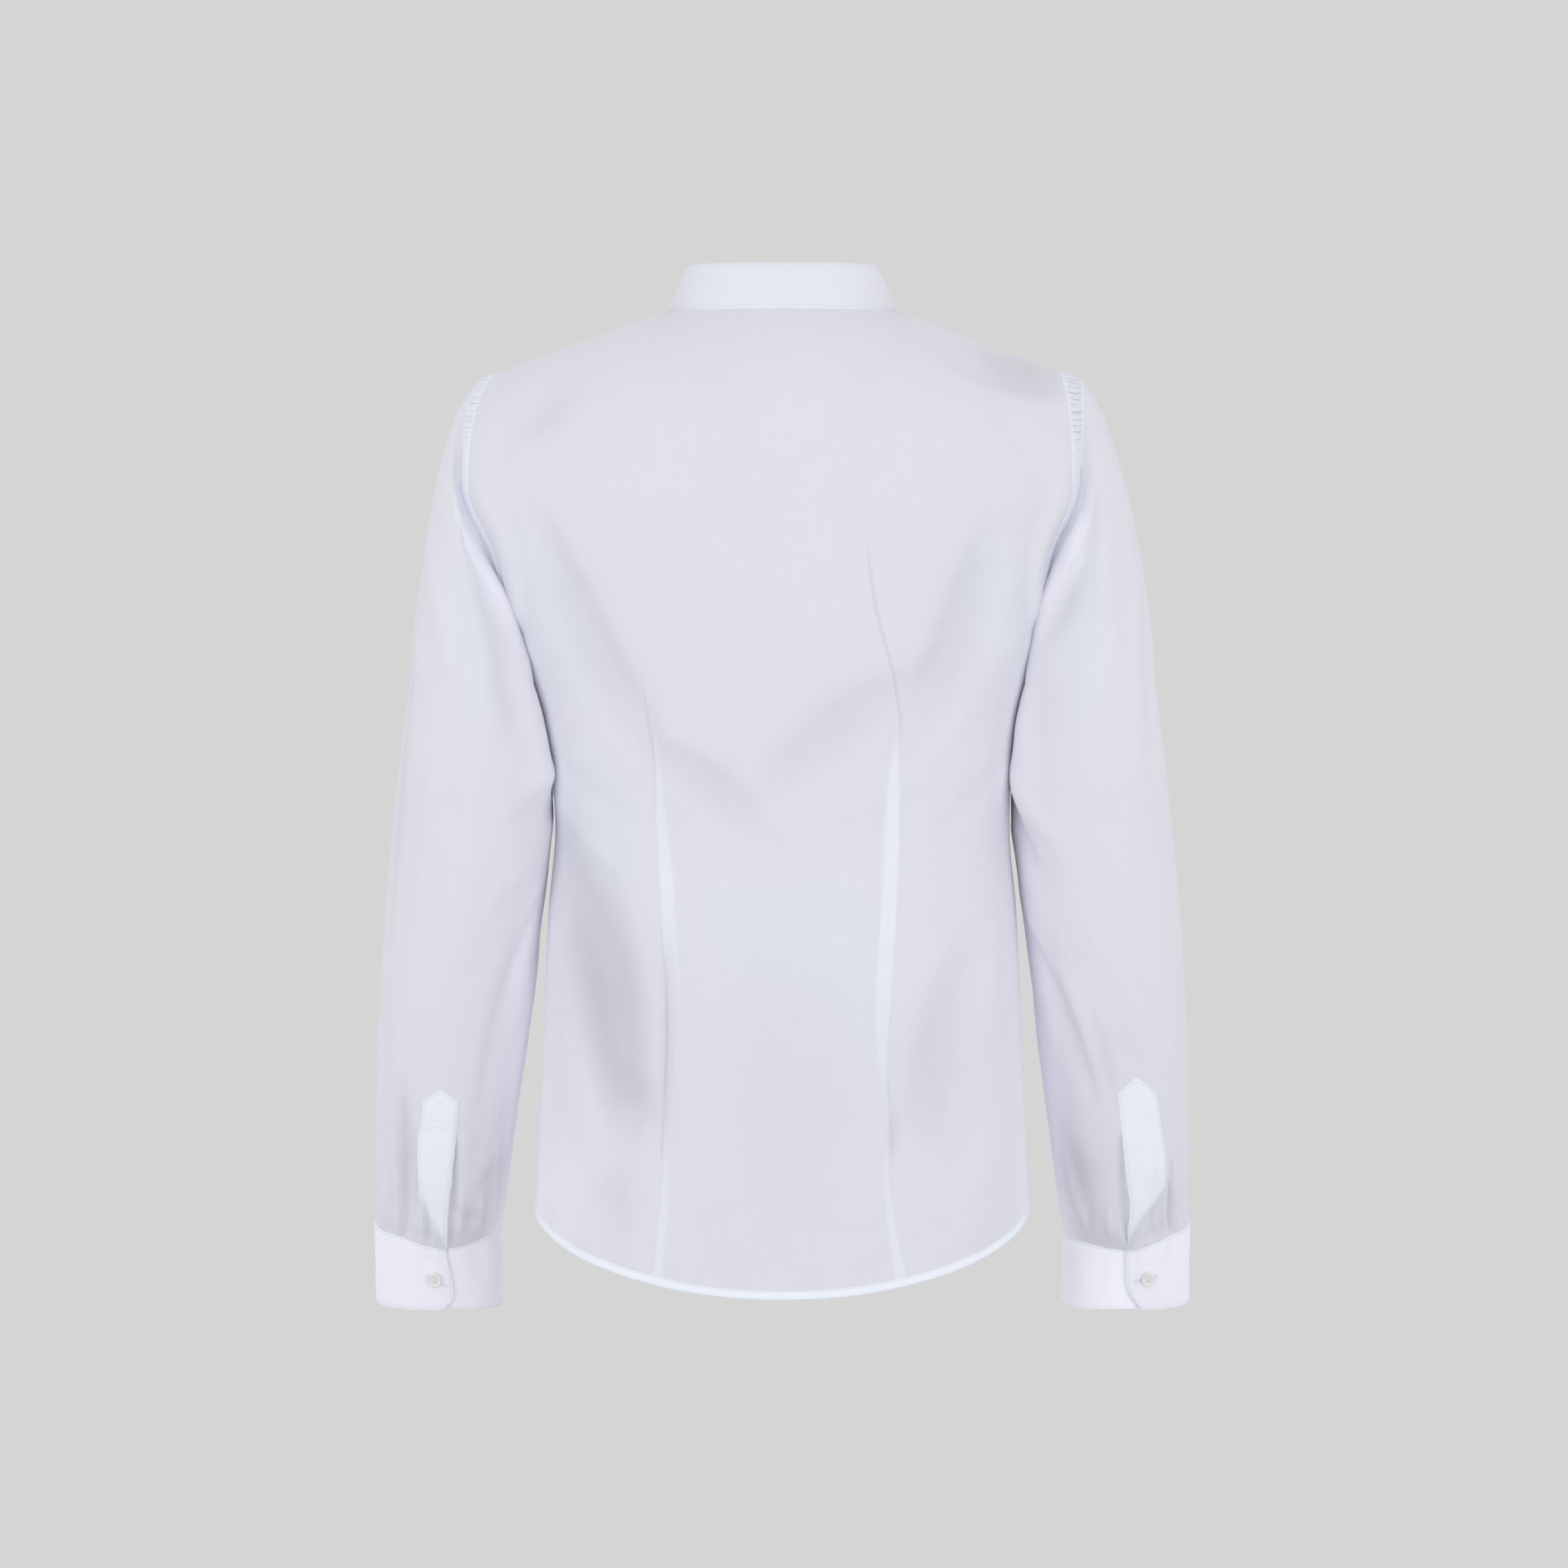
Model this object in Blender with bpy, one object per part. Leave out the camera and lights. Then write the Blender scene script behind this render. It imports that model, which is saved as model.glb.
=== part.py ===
"""Mandarin collar blouse, filled out as it hangs on a wearer.

Metres, +Z up.  The front of the blouse faces -Y and the wearer's left is +X.  The origin is the middle of
the neck base, level with the two points where the shoulder seams meet the collar.

The body is a stack of sections.  Each section runs from the centre line to the side seam, or above the
underarm to the armhole, and the shoulders roll over from the highest section to the shoulder seam.  Every
panel, sleeve, cuff and placket is a sheet of points on that form, given a wall towards the inside.
"""

import math

import bmesh
import bpy
import numpy as np

# Walls and seams
CLOTH_WALL = 0.0015
DOUBLED_WALL = 0.0020
SEAM_GAP = 0.0003
REST_GAP = 0.0012

# Heights and lengths
UNDERARM = -0.222
SHOULDER_TIP = (0.1955, -0.0435)
HEM_SIDE = -0.600
BACK_TAIL = 0.054
FRONT_TAIL = 0.042
ROLL_START_BACK = (-0.090, -0.118)
ROLL_START_FRONT = (-0.132, -0.118)
ROLL_TOP = -0.095
SEAM_FORWARD = 0.004
NECK_FLATTER = 48.0
HEM_CURVE = (2.2, 2.15)
EDGE_STAND_OUT = 0.0070
EDGE_SPREAD = 0.0015
EDGE_SHARE = 0.20
EDGE_RISE, EDGE_FALL = 0.030, 0.040

# Neck and collar
NECK_HALF_WIDTH = 0.0755
NECK_BACK = 0.066
NECK_FRONT = 0.066
NECK_DROP = 0.060
NECK_DROP_BACK = 0.002
COLLAR_HEIGHT = 0.034
COLLAR_LEAN = 0.42
COLLAR_CORNER = 0.014
COLLAR_END_GAP = 0.0012

# Button stand down the front
STAND_HALF = 0.0125
FRONT_BUTTONS = 7
FIRST_BUTTON = -0.085
BUTTON_PITCH = 0.079

# Sleeves, cuffs and plackets
SLEEVE_TOP_RING = -0.250
CUFF_SEAM = -0.614
CUFF_HEIGHT = 0.0505
CUFF_CENTRE = 0.2338
CUFF_HALF_WIDTH = 0.0426
CUFF_HALF_DEPTH = 0.0315
CUFF_FORWARD = 0.060
CUFF_TILT = 0.30
CUFF_DIP = 0.006
DIP_START = -0.500
CUFF_DIP_HALF_ANGLE = 30.0
CUFF_OVERLAP_SPAN = 30.0
CUFF_CORNER = 0.010
CORNER_STEPS = (0.0, 1.2, 4.0)
BUTTON_RADIUS = 0.005
BUTTON_THICKNESS = 0.0022
BUTTON_LIFT = 0.00050
PLACKET_LENGTH = 0.098
PLACKET_POINT = 0.010
PLACKET_WALL = 0.0010
PLACKET_LIFT = 0.0008
PLACKET_FOOT = 0.0012
PLACKET_HALF_ANGLE = 15.0
PLACKET_COLUMNS = (-1.0, -0.5, 0.0, 0.5, 1.0)
PLACKET_LEVELS = (0.0, 0.12, 0.26, 0.42, 0.60, 0.80, 1.0)
CUFF_BUTTON_SHARE = 0.56
CUFF_LAP_EASE = (16.0, 14.0)

SIDES = (("left", 1.0), ("right", -1.0))

# Round each wrist, in degrees from the sleeve's outer edge: the cuff overlap's end, its button, the placket
WRISTS = {
    1.0: {"overlap_end": 101.0, "button": 88.5, "placket": 86.5},
    -1.0: {"overlap_end": 92.5, "button": 73.0, "placket": 76.5},
}

# Strips of a panel from hem to underarm, on to the shoulder roll, and over it; columns of half a panel;
# how much the sleeve's rings crowd towards the cuff
HEM_ROWS = 12
CHEST_ROWS = 5
ROLL_ROWS = 7
NECK_COLUMNS = 4
SHOULDER_STEPS = (0.20, 0.40, 0.60, 0.78, 0.91, 1.0)
NECK_SHARE = 0.42
SLEEVE_COLUMNS = 2 * (CHEST_ROWS + ROLL_ROWS)
HEAD_RINGS = 8
ARM_RINGS = 12
RING_CROWDING = 0.35

# Sleeve head: how each sleeve column leaves the armhole and how high above the upper arm ring it turns down,
# for the column over the shoulder, the one under the arm, and those at the back and front
HEAD_LEAVES = {"over": (0.021, -0.004), "under": (0.0016, -0.005), "beside": (0.004, -0.004)}
HEAD_TURNS = {"over": 0.092, "under": 0.008, "beside": 0.012}
HEAD_SPREAD = 0.006
HEAD_DRAW_IN = 0.004

# Body sections: half width, depth at the centre of back and front, depth at the edge, sweep in degrees,
# and how far both edges lean to the wearer's left
SECTION_COLUMNS = ("height", "half_width", "back", "front", "edge_back", "edge_front", "sweep", "lean")
SECTIONS = (
    (-0.690, 0.1680, 0.106, 0.110, 0.000, 0.000, 90.0, 0.0000),    # below the hem
    (-0.600, 0.1650, 0.104, 0.112, 0.000, 0.000, 90.0, 0.0000),    # hip
    (-0.490, 0.1603, 0.096, 0.109, 0.000, 0.000, 90.0, 0.0000),    # high hip
    (-0.400, 0.1565, 0.087, 0.105, 0.000, 0.000, 90.0, 0.0000),    # below the waist
    (-0.345, 0.1520, 0.083, 0.104, 0.000, 0.000, 90.0, 0.0000),    # waist
    (-0.285, 0.1570, 0.089, 0.113, 0.000, 0.000, 90.0, 0.0015),    # ribs
    (-0.222, 0.1740, 0.100, 0.122, 0.000, 0.000, 90.0, 0.0038),    # underarm
    (-0.203, 0.1785, 0.103, 0.121, 0.022, 0.021, 82.0, 0.0046),    # armhole, lower curve
    (-0.165, 0.1875, 0.106, 0.117, 0.035, 0.033, 70.0, 0.0075),    # armhole, hollow
    (-0.118, 0.2060, 0.107, 0.110, 0.040, 0.037, 62.0, 0.0080),    # shoulder blades and chest
    (-0.080, 0.2050, 0.107, 0.102, 0.040, 0.037, 60.0, 0.0060),    # above them
)

# Sleeve rings: outer and inner edge, half depth, centre forward of the side seam, slope of the ring
RING_COLUMNS = ("height", "outer", "inner", "half_depth", "forward", "slope")
RINGS = (
    (-0.250, 0.2490, 0.1400, 0.071, 0.000, 0.00),    # upper arm
    (-0.300, 0.2560, 0.1400, 0.067, 0.000, 0.02),    # beside the ribs
    (-0.345, 0.2610, 0.1530, 0.062, 0.002, 0.06),    # elbow
    (-0.390, 0.2655, 0.1590, 0.058, 0.007, 0.13),    # below the elbow
    (-0.444, 0.2700, 0.1665, 0.054, 0.016, 0.20),    # upper forearm
    (-0.498, 0.2730, 0.1745, 0.050, 0.028, 0.25),    # forearm
    (-0.553, 0.2745, 0.1812, 0.046, 0.042, 0.29),    # lower forearm
    (-0.598, 0.2753, 0.1880, 0.040, 0.055, 0.30),    # fullness above the cuff
    (-0.614, 0.2764, 0.1912, 0.0315, 0.060, 0.30),   # cuff seam
)

# Largest folds of the body, ridges above zero height and troughs below it
# panel, start x, start z, end x, end z, half width, height
FOLDS = (
    ("back", 0.150, -0.130, 0.092, -0.290, 0.020, -0.0045),    # drag line, left blade to waist
    ("back", -0.122, -0.225, -0.076, -0.310, 0.018, -0.0040),  # drag line, right blade to waist
    ("back", -0.070, -0.270, 0.050, -0.345, 0.022, 0.0040),    # slack above the waist
    ("back", 0.150, -0.375, 0.112, -0.555, 0.022, -0.0045),    # hollow beside the left dart
    ("back", -0.128, -0.450, -0.078, -0.560, 0.020, -0.0040),  # hollow beside the right dart
    ("back", 0.079, -0.240, 0.084, -0.640, 0.009, -0.0020),    # left back dart
    ("back", -0.060, -0.150, -0.076, -0.640, 0.009, -0.0020),  # right back dart
    ("front", 0.105, -0.190, 0.088, -0.420, 0.011, -0.0025),   # left front dart
    ("front", -0.105, -0.190, -0.088, -0.420, 0.011, -0.0025),  # right front dart
    ("front", 0.160, -0.150, 0.100, -0.250, 0.018, -0.0035),   # drag line, left armhole to bust
    ("front", -0.160, -0.150, -0.100, -0.260, 0.018, -0.0035),  # drag line, right armhole to bust
)

# Pleats of the sleeve into the cuff
# angle round the sleeve, half width in degrees, height, reach up the sleeve
PLEATS = (
    (60.0, 12.0, -0.0022, 0.070),
    (30.0, 12.0, -0.0020, 0.060),
    (45.0, 10.0, 0.0014, 0.080),
    (135.0, 13.0, -0.0020, 0.050),
    (150.0, 12.0, 0.0012, 0.060),
)

WHITE = (0.86, 0.87, 0.90, 1.0)
COLLAR_WHITE = (0.88, 0.89, 0.92, 1.0)
PEARL = (0.62, 0.62, 0.64, 1.0)


def start_empty():
    for item in list(bpy.data.objects):
        bpy.data.objects.remove(item, do_unlink=True)


def finish(name, colour, roughness):
    """A plain finish of its own for one sub-part."""
    material = bpy.data.materials.new(name)
    material.use_nodes = True
    shader = material.node_tree.nodes["Principled BSDF"]
    shader.inputs["Base Color"].default_value = colour
    shader.inputs["Roughness"].default_value = roughness
    shader.inputs["Metallic"].default_value = 0.0
    return material


def smooth(value):
    """Rise from 0 to 1 with level ends."""
    value = np.clip(value, 0.0, 1.0)
    return value * value * (3.0 - 2.0 * value)


def unit(vectors):
    return vectors / np.maximum(np.linalg.norm(vectors, axis=-1, keepdims=True), 1e-12)


def column(table, names, name, height):
    """Read one named column of a table at any height, smoothly and without overshoot."""
    rows = sorted(table)
    at = np.array([row[0] for row in rows])
    value = np.array([row[names.index(name)] for row in rows])
    step = np.diff(at)
    slope = np.diff(value) / step
    same_way = slope[:-1] * slope[1:] > 0.0
    total = np.where(same_way, slope[:-1] + slope[1:], 1.0)
    inner = np.where(same_way, 2.0 * slope[:-1] * slope[1:] / total, 0.0)
    tangent = np.concatenate([slope[:1], inner, slope[-1:]])
    height = np.clip(height, at[0], at[-1])
    i = np.clip(np.searchsorted(at, height, side="right") - 1, 0, len(at) - 2)
    t = (height - at[i]) / step[i]
    start = (1.0 + 2.0 * t) * (1.0 - t) ** 2 * value[i] + t * (1.0 - t) ** 2 * step[i] * tangent[i]
    end = t * t * (3.0 - 2.0 * t) * value[i + 1] - t * t * (1.0 - t) * step[i] * tangent[i + 1]
    return start + end


def body(name, height):
    return column(SECTIONS, SECTION_COLUMNS, name, height)


def ring(name, height):
    return column(RINGS, RING_COLUMNS, name, height)


# ---------------------------------------------------------------------------------------------------------
# Body form


def section_point(face, across, height):
    """A point of the body at a height; across is 0 at the centre line and 1 at the side or armhole edge."""
    sweep = np.radians(body("sweep", height))
    turn = across * sweep
    edge = body("edge_" + face, height)
    depth = edge + (body(face, height) - edge) * (np.cos(turn) - np.cos(sweep)) / (1.0 - np.cos(sweep))
    x = body("half_width", height) * np.sin(turn) / np.sin(sweep) + body("lean", height) * across ** 2
    facing = 1.0 if face == "back" else -1.0
    return np.stack([x, facing * depth, height + 0.0 * x], axis=-1)


def top_point(face, across):
    """The upper edge of a panel: the neck curve, then the shoulder seam out to its tip."""
    size = np.abs(across)
    turn = np.radians(90.0) * np.clip(size / NECK_SHARE, 0.0, 1.0)
    along = np.clip((size - NECK_SHARE) / (1.0 - NECK_SHARE), 0.0, 1.0)
    x = NECK_HALF_WIDTH * np.sin(turn) + (SHOULDER_TIP[0] - NECK_HALF_WIDTH) * along
    z = SHOULDER_TIP[1] * along
    if face == "back":
        y = NECK_BACK * np.cos(turn) - SEAM_FORWARD
        z = z - NECK_DROP_BACK * np.cos(turn)
    else:
        y = -NECK_FRONT * np.cos(turn) ** 0.9 - SEAM_FORWARD
        z = z - NECK_DROP * np.cos(turn) ** 1.6
    return np.stack([np.sign(across) * x, y, z], axis=-1)


def hem_height(face, across):
    tail = BACK_TAIL if face == "back" else FRONT_TAIL
    size = np.abs(across)
    power, lead = HEM_CURVE
    return HEM_SIDE - tail * (1.0 - size ** power * (lead - (lead - 1.0) * size))


def row_heights(face, across_row, row):
    """Where one row of the panel below the shoulder roll lies, for its own spread of columns."""
    if row <= HEM_ROWS:
        low = hem_height(face, across_row)
        return low + (UNDERARM - low) * row / HEM_ROWS
    centre, edge = ROLL_START_BACK if face == "back" else ROLL_START_FRONT
    high = centre + (edge - centre) * across_row ** 2
    return UNDERARM + (high - UNDERARM) * (row - HEM_ROWS) / CHEST_ROWS


def edge_roll(face, across, points):
    """The panel stands out just before the lower armhole and turns in to the seam."""
    size = np.abs(across)
    near = np.sin(np.pi * np.clip((size - 1.0 + EDGE_SHARE) / EDGE_SHARE, 0.0, 1.0)) ** 2
    height = points[..., 2]
    high = smooth((height - UNDERARM) / EDGE_RISE) * smooth((ROLL_TOP - height) / EDGE_FALL)
    facing = 1.0 if face == "back" else -1.0
    points[..., 0] += np.sign(across) * EDGE_SPREAD * near * high
    points[..., 1] += facing * EDGE_STAND_OUT * near * high


def panel_points(face, columns_at):
    """Rows of points from the hem to the shoulder; columns_at gives where the columns lie in a row."""
    rows = []
    for row in range(HEM_ROWS + CHEST_ROWS + 1):
        across = columns_at("section", row)
        height = row_heights(face, across, row)
        points = section_point(face, across, height)
        edge_roll(face, across, points)
        rows.append(points)
    start = rows[-1]
    across = columns_at("top", 0)
    rise = top_point(face, across) - start
    neck = np.cos(np.pi / 2.0 * np.clip(np.abs(across) / NECK_SHARE, 0.0, 1.0))
    last_turn = np.radians(90.0 - NECK_FLATTER * neck)
    for step in range(1, ROLL_ROWS + 1):
        turn = last_turn * step / ROLL_ROWS
        level = (1.0 - np.cos(turn)) / (1.0 - np.cos(last_turn))
        share = np.stack([level, level, np.sin(turn) / np.sin(last_turn)], axis=-1)
        rows.append(start + rise * share)
    return np.array(rows)


def fold_heights(face, points):
    """Height of the body's folds at each point: a soft ridge or trough along each fold's line."""
    total = np.zeros(points.shape[:-1])
    for panel, x0, z0, x1, z1, half_width, height in FOLDS:
        if panel != face:
            continue
        run = np.array([x1 - x0, z1 - z0])
        away = points[..., [0, 2]] - np.array([x0, z0])
        along = np.clip((away @ run) / (run @ run), 0.0, 1.0)
        beside = np.linalg.norm(away - along[..., None] * run, axis=-1)
        fade = np.sin(np.pi * np.clip(0.08 + 0.84 * along, 0.0, 1.0))
        total += height * fade * np.exp(-(beside / half_width) ** 2)
    return total


def surface_normals(points, around=False):
    """Normals of a sheet of points, by its neighbours along and across."""
    up = np.gradient(points, axis=0)
    if around:
        along = (np.roll(points, -1, axis=1) - np.roll(points, 1, axis=1)) / 2.0
    else:
        along = np.gradient(points, axis=1)
    return unit(np.cross(along, up))


def outward(normals, points, centre):
    """Turn the normals so that most of them point away from a centre line."""
    middle = (points - centre)[..., :2]
    side = np.sum(normals[..., :2] * middle)
    return normals if side > 0.0 else -normals


# ---------------------------------------------------------------------------------------------------------
# Solids from sheets


def sheet_solid(name, outer, inner, colour, roughness, around=False):
    """Close the space between an outer and an inner sheet of points into one solid."""
    rows, columns = outer.shape[:2]
    mesh_data = bmesh.new()
    skins = []
    for sheet in (outer, inner):
        skins.append([[mesh_data.verts.new(point) for point in row] for row in sheet])
    last = columns if around else columns - 1
    for skin in skins:
        for r in range(rows - 1):
            for c in range(last):
                a, b = skin[r][c], skin[r][(c + 1) % columns]
                d, e = skin[r + 1][(c + 1) % columns], skin[r + 1][c]
                mesh_data.faces.new((a, b, d))
                mesh_data.faces.new((a, d, e))
    for r in (0, rows - 1):
        for c in range(last):
            n = (c + 1) % columns
            mesh_data.faces.new((skins[0][r][c], skins[0][r][n], skins[1][r][n]))
            mesh_data.faces.new((skins[0][r][c], skins[1][r][n], skins[1][r][c]))
    if not around:
        for c in (0, columns - 1):
            for r in range(rows - 1):
                mesh_data.faces.new((skins[0][r][c], skins[0][r + 1][c], skins[1][r + 1][c]))
                mesh_data.faces.new((skins[0][r][c], skins[1][r + 1][c], skins[1][r][c]))
    return add_object(name, mesh_data, colour, roughness)


def add_object(name, mesh_data, colour, roughness):
    bmesh.ops.recalc_face_normals(mesh_data, faces=mesh_data.faces[:])
    mesh = bpy.data.meshes.new(name)
    mesh_data.to_mesh(mesh)
    mesh_data.free()
    mesh.materials.append(finish(name, colour, roughness))
    item = bpy.data.objects.new(name, mesh)
    bpy.context.scene.collection.objects.link(item)
    return item


# ---------------------------------------------------------------------------------------------------------
# Back and fronts


def half_columns():
    neck = [NECK_SHARE * i / NECK_COLUMNS for i in range(NECK_COLUMNS + 1)]
    return np.array(neck + [NECK_SHARE + (1.0 - NECK_SHARE) * step for step in SHOULDER_STEPS])


def back_columns(kind, row):
    half = half_columns()
    return np.concatenate([-half[:0:-1], half])


def stand_share(kind, row):
    """How far across a front the edge of its button stand lies, in the section of a row or at the neck."""
    if kind == "top":
        return NECK_SHARE * math.asin(STAND_HALF / NECK_HALF_WIDTH) / (math.pi / 2.0)
    if row <= HEM_ROWS:
        low = HEM_SIDE - FRONT_TAIL
        height = low + (UNDERARM - low) * row / HEM_ROWS
    else:
        height = UNDERARM + (ROLL_START_FRONT[0] - UNDERARM) * (row - HEM_ROWS) / CHEST_ROWS
    sweep = math.radians(float(body("sweep", height)))
    return math.asin(STAND_HALF * math.sin(sweep) / float(body("half_width", height))) / sweep


def front_columns(kind, row):
    """Columns of the left front: the stand either side of the centre line, then out to the edge."""
    share = stand_share(kind, row)
    half = half_columns()
    neck = share + (NECK_SHARE - share) * half[:NECK_COLUMNS + 1] / NECK_SHARE
    return np.concatenate([[-share, 0.0], neck, half[NECK_COLUMNS + 1:]])


def seam_edges(points, normals, face, edge_columns, seam_columns):
    """Draw the seam edges back by half a gap, and set the walls of two panels square to their seam."""
    half_gap = SEAM_GAP / 2.0
    facing = 1.0 if face == "back" else -1.0
    points[-1, :, 2] -= half_gap
    for c, neighbour in edge_columns:
        inwards = unit(points[:, neighbour] - points[:, c])
        points[:HEM_ROWS + 1, c, 1] += facing * half_gap
        normals[:HEM_ROWS + 1, c, 1] = 0.0
        points[HEM_ROWS:, c] += inwards[HEM_ROWS:] * half_gap
    points[-1, seam_columns, 1] += facing * half_gap
    normals[-1, seam_columns, 1] = 0.0
    return points, unit(normals)


def panel_form(face, columns_at):
    points = panel_points(face, columns_at)
    normals = outward(surface_normals(points), points, np.zeros(3))
    across = columns_at("section", 0)
    calm = (1.0 - smooth((np.abs(across) - 0.80) / 0.18)) * np.ones(points.shape[:2])
    calm *= smooth((-0.030 - points[..., 2]) / 0.060)
    points = points + normals * (fold_heights(face, points) * calm)[..., None]
    normals = outward(surface_normals(points), points, np.zeros(3))
    return points, normals, across


def make_back():
    points, normals, across = panel_form("back", back_columns)
    last = len(across) - 1
    seam = np.where(np.abs(across) >= NECK_SHARE - 1e-9)[0]
    points, normals = seam_edges(points, normals, "back", ((0, 1), (last, last - 1)), seam)
    sheet_solid("back", points, points - normals * CLOTH_WALL, WHITE, 0.75)


def front_form(side):
    """The sheet of one front; side is 1 for the wearer's left and -1 for the right."""
    points, normals, across = panel_form("front", lambda kind, row: side * front_columns(kind, row))
    last = len(across) - 1
    seam = np.where(np.abs(across) >= NECK_SHARE - 1e-9)[0]
    return seam_edges(points, normals, "front", ((last, last - 1),), seam)


def lapped_front_form():
    """The right front, raised at the stand to lie over the left one with a seam gap between."""
    points, normals = front_form(-1.0)
    lap = np.array([1.0, 1.0, 1.0, 0.45] + [0.0] * (points.shape[1] - 4))
    step = normals.copy()
    level = unit(step[-1] * np.array([1.0, 1.0, 0.0]))
    step[-1] = level / np.sum(level * normals[-1], axis=1, keepdims=True)
    return points + step * (lap * (CLOTH_WALL + SEAM_GAP))[None, :, None], normals


def make_fronts():
    points, normals = front_form(1.0)
    sheet_solid("front_left", points, points - normals * CLOTH_WALL, WHITE, 0.75)
    points, normals = lapped_front_form()
    sheet_solid("front_right", points, points - normals * CLOTH_WALL, WHITE, 0.75)


# ---------------------------------------------------------------------------------------------------------
# Collar


def neck_loop():
    """Points of the neck seam from the left end at centre front, round the back, to the right end."""
    half = half_columns()[:NECK_COLUMNS + 1]
    share = stand_share("top", 0)
    across = np.concatenate([[share * 0.5], share + (NECK_SHARE - share) * half / NECK_SHARE])
    front = top_point("front", across)
    front[0, 0] = COLLAR_END_GAP
    back = top_point("back", back_columns("top", 0))
    back = back[np.abs(back_columns("top", 0)) <= NECK_SHARE + 1e-9][::-1]
    mirror = np.array([-1.0, 1.0, 1.0])
    return np.concatenate([front, back[1:-1], (front * mirror)[::-1]])


def collar_end_points(loop):
    """Extra points near each end, so that the band's upper corners are round."""
    near = [loop[0] + (loop[1] - loop[0]) * share for share in (0.0, 0.16, 0.5)]
    far = [loop[-1] + (loop[-2] - loop[-1]) * share for share in (0.5, 0.16, 0.0)]
    return np.concatenate([near, loop[1:-1], far])


def make_collar():
    loop = collar_end_points(neck_loop())
    centre = np.array([0.0, -0.004, 0.0])
    inwards = unit((centre - loop) * np.array([1.0, 1.0, 0.0]))
    travelled = np.concatenate([[0.0], np.cumsum(np.linalg.norm(np.diff(loop, axis=0), axis=1))])
    from_end = np.minimum(travelled, travelled[-1] - travelled)
    short = np.clip(COLLAR_CORNER - from_end, 0.0, COLLAR_CORNER)
    height = COLLAR_HEIGHT - COLLAR_CORNER + np.sqrt(COLLAR_CORNER ** 2 - short ** 2)
    rise = unit(np.array([0.0, 0.0, 1.0]) + COLLAR_LEAN * inwards)
    base = loop + np.array([0.0, 0.0, SEAM_GAP])
    outer = np.array([base + rise * (height * share)[:, None] for share in (0.0, 0.33, 0.67, 1.0)])
    wall = unit(inwards - np.sum(inwards * rise, axis=1, keepdims=True) * rise) * DOUBLED_WALL
    inner = outer + wall
    inner[0, :, 2] = np.maximum(inner[0, :, 2], outer[0, :, 2])
    sheet_solid("collar_band", outer, inner, COLLAR_WHITE, 0.7)


# ---------------------------------------------------------------------------------------------------------
# Sleeves


def cuff_dip(side, angles):
    """Drop of the cuff seam beside the wrist opening; angles run round the sleeve from its outer edge."""
    away = (np.degrees(angles) - WRISTS[side]["overlap_end"] + 180.0) % 360.0 - 180.0
    return CUFF_DIP * np.exp(-(away / CUFF_DIP_HALF_ANGLE) ** 2)


def ring_points(side, height, angles):
    """One ring of a sleeve, drawn as the left one: outer edge at 0 degrees, back at 90, body side at 180."""
    outer = ring("outer", height)
    beside = body("half_width", height) + side * body("lean", height) + REST_GAP
    inner = np.maximum(ring("inner", height), beside)
    half_width = (outer - inner) / 2.0
    half_depth = ring("half_depth", height)
    x = (outer + inner) / 2.0 + half_width * np.cos(angles)
    y = -ring("forward", height) + half_depth * np.sin(angles)
    z = height - ring("slope", height) * half_depth * np.sin(angles)
    dip = cuff_dip(side, angles) * smooth((DIP_START - height) / (DIP_START - CUFF_SEAM))
    return np.stack([x, y - dip * CUFF_TILT, z - dip], axis=-1)


def armhole_loop(side):
    """An armhole seam, drawn as the left one: shoulder tip, down the back, under the arm, up the front."""
    edge = -1 if side > 0.0 else 0
    back = panel_points("back", back_columns)[HEM_ROWS:, edge]
    front = panel_points("front", lambda kind, row: side * front_columns(kind, row))[HEM_ROWS:, -1]
    loop = np.concatenate([back[::-1], front[1:-1]])
    return loop * np.array([side, 1.0, 1.0])


def sleeve_rings(side, angles):
    """Rings of the sleeve: the head from the armhole to the upper arm, then the arm down to the cuff."""
    loop = armhole_loop(side)
    over = (1.0 + np.cos(angles)) / 2.0
    weights = {"over": over, "under": 1.0 - over, "beside": np.abs(np.sin(angles))}
    leaves = sum(np.outer(weight, HEAD_LEAVES[name]) for name, weight in weights.items())
    spread = HEAD_SPREAD * np.sin(angles)
    reach = np.stack([leaves[:, 0], spread, leaves[:, 1]], axis=-1)
    turns = sum(weight * HEAD_TURNS[name] for name, weight in weights.items())
    rise = np.stack([-HEAD_DRAW_IN * over, 0.0 * over, turns], axis=-1)
    arm = ring_points(side, np.full(len(angles), SLEEVE_TOP_RING), angles)
    rings = []
    for t in np.linspace(0.0, 1.0, HEAD_RINGS + 1):
        start = loop * (1 - t) ** 3 + (loop + reach) * 3 * t * (1 - t) ** 2
        rings.append(start + (arm + rise) * 3 * t * t * (1 - t) + arm * t ** 3)
    for step in np.arange(1, ARM_RINGS + 1) / ARM_RINGS:
        share = RING_CROWDING * math.sin(math.pi / 2.0 * step) ** 0.9 + (1.0 - RING_CROWDING) * step
        height = SLEEVE_TOP_RING + (CUFF_SEAM - SLEEVE_TOP_RING) * share
        rings.append(ring_points(side, np.full(len(angles), height), angles))
    return np.array(rings)


def pleat_heights(points, angles):
    above = points[..., 2] - CUFF_SEAM
    total = np.zeros(points.shape[:-1])
    for angle, half_angle, height, reach in PLEATS:
        beside = np.exp(-((np.degrees(angles) - angle) / half_angle) ** 2)
        total += height * beside * smooth(above / 0.006) * (1.0 - smooth(above / reach))
    return total


def sleeve_angles():
    return np.radians(360.0 * np.arange(SLEEVE_COLUMNS) / SLEEVE_COLUMNS)


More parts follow.
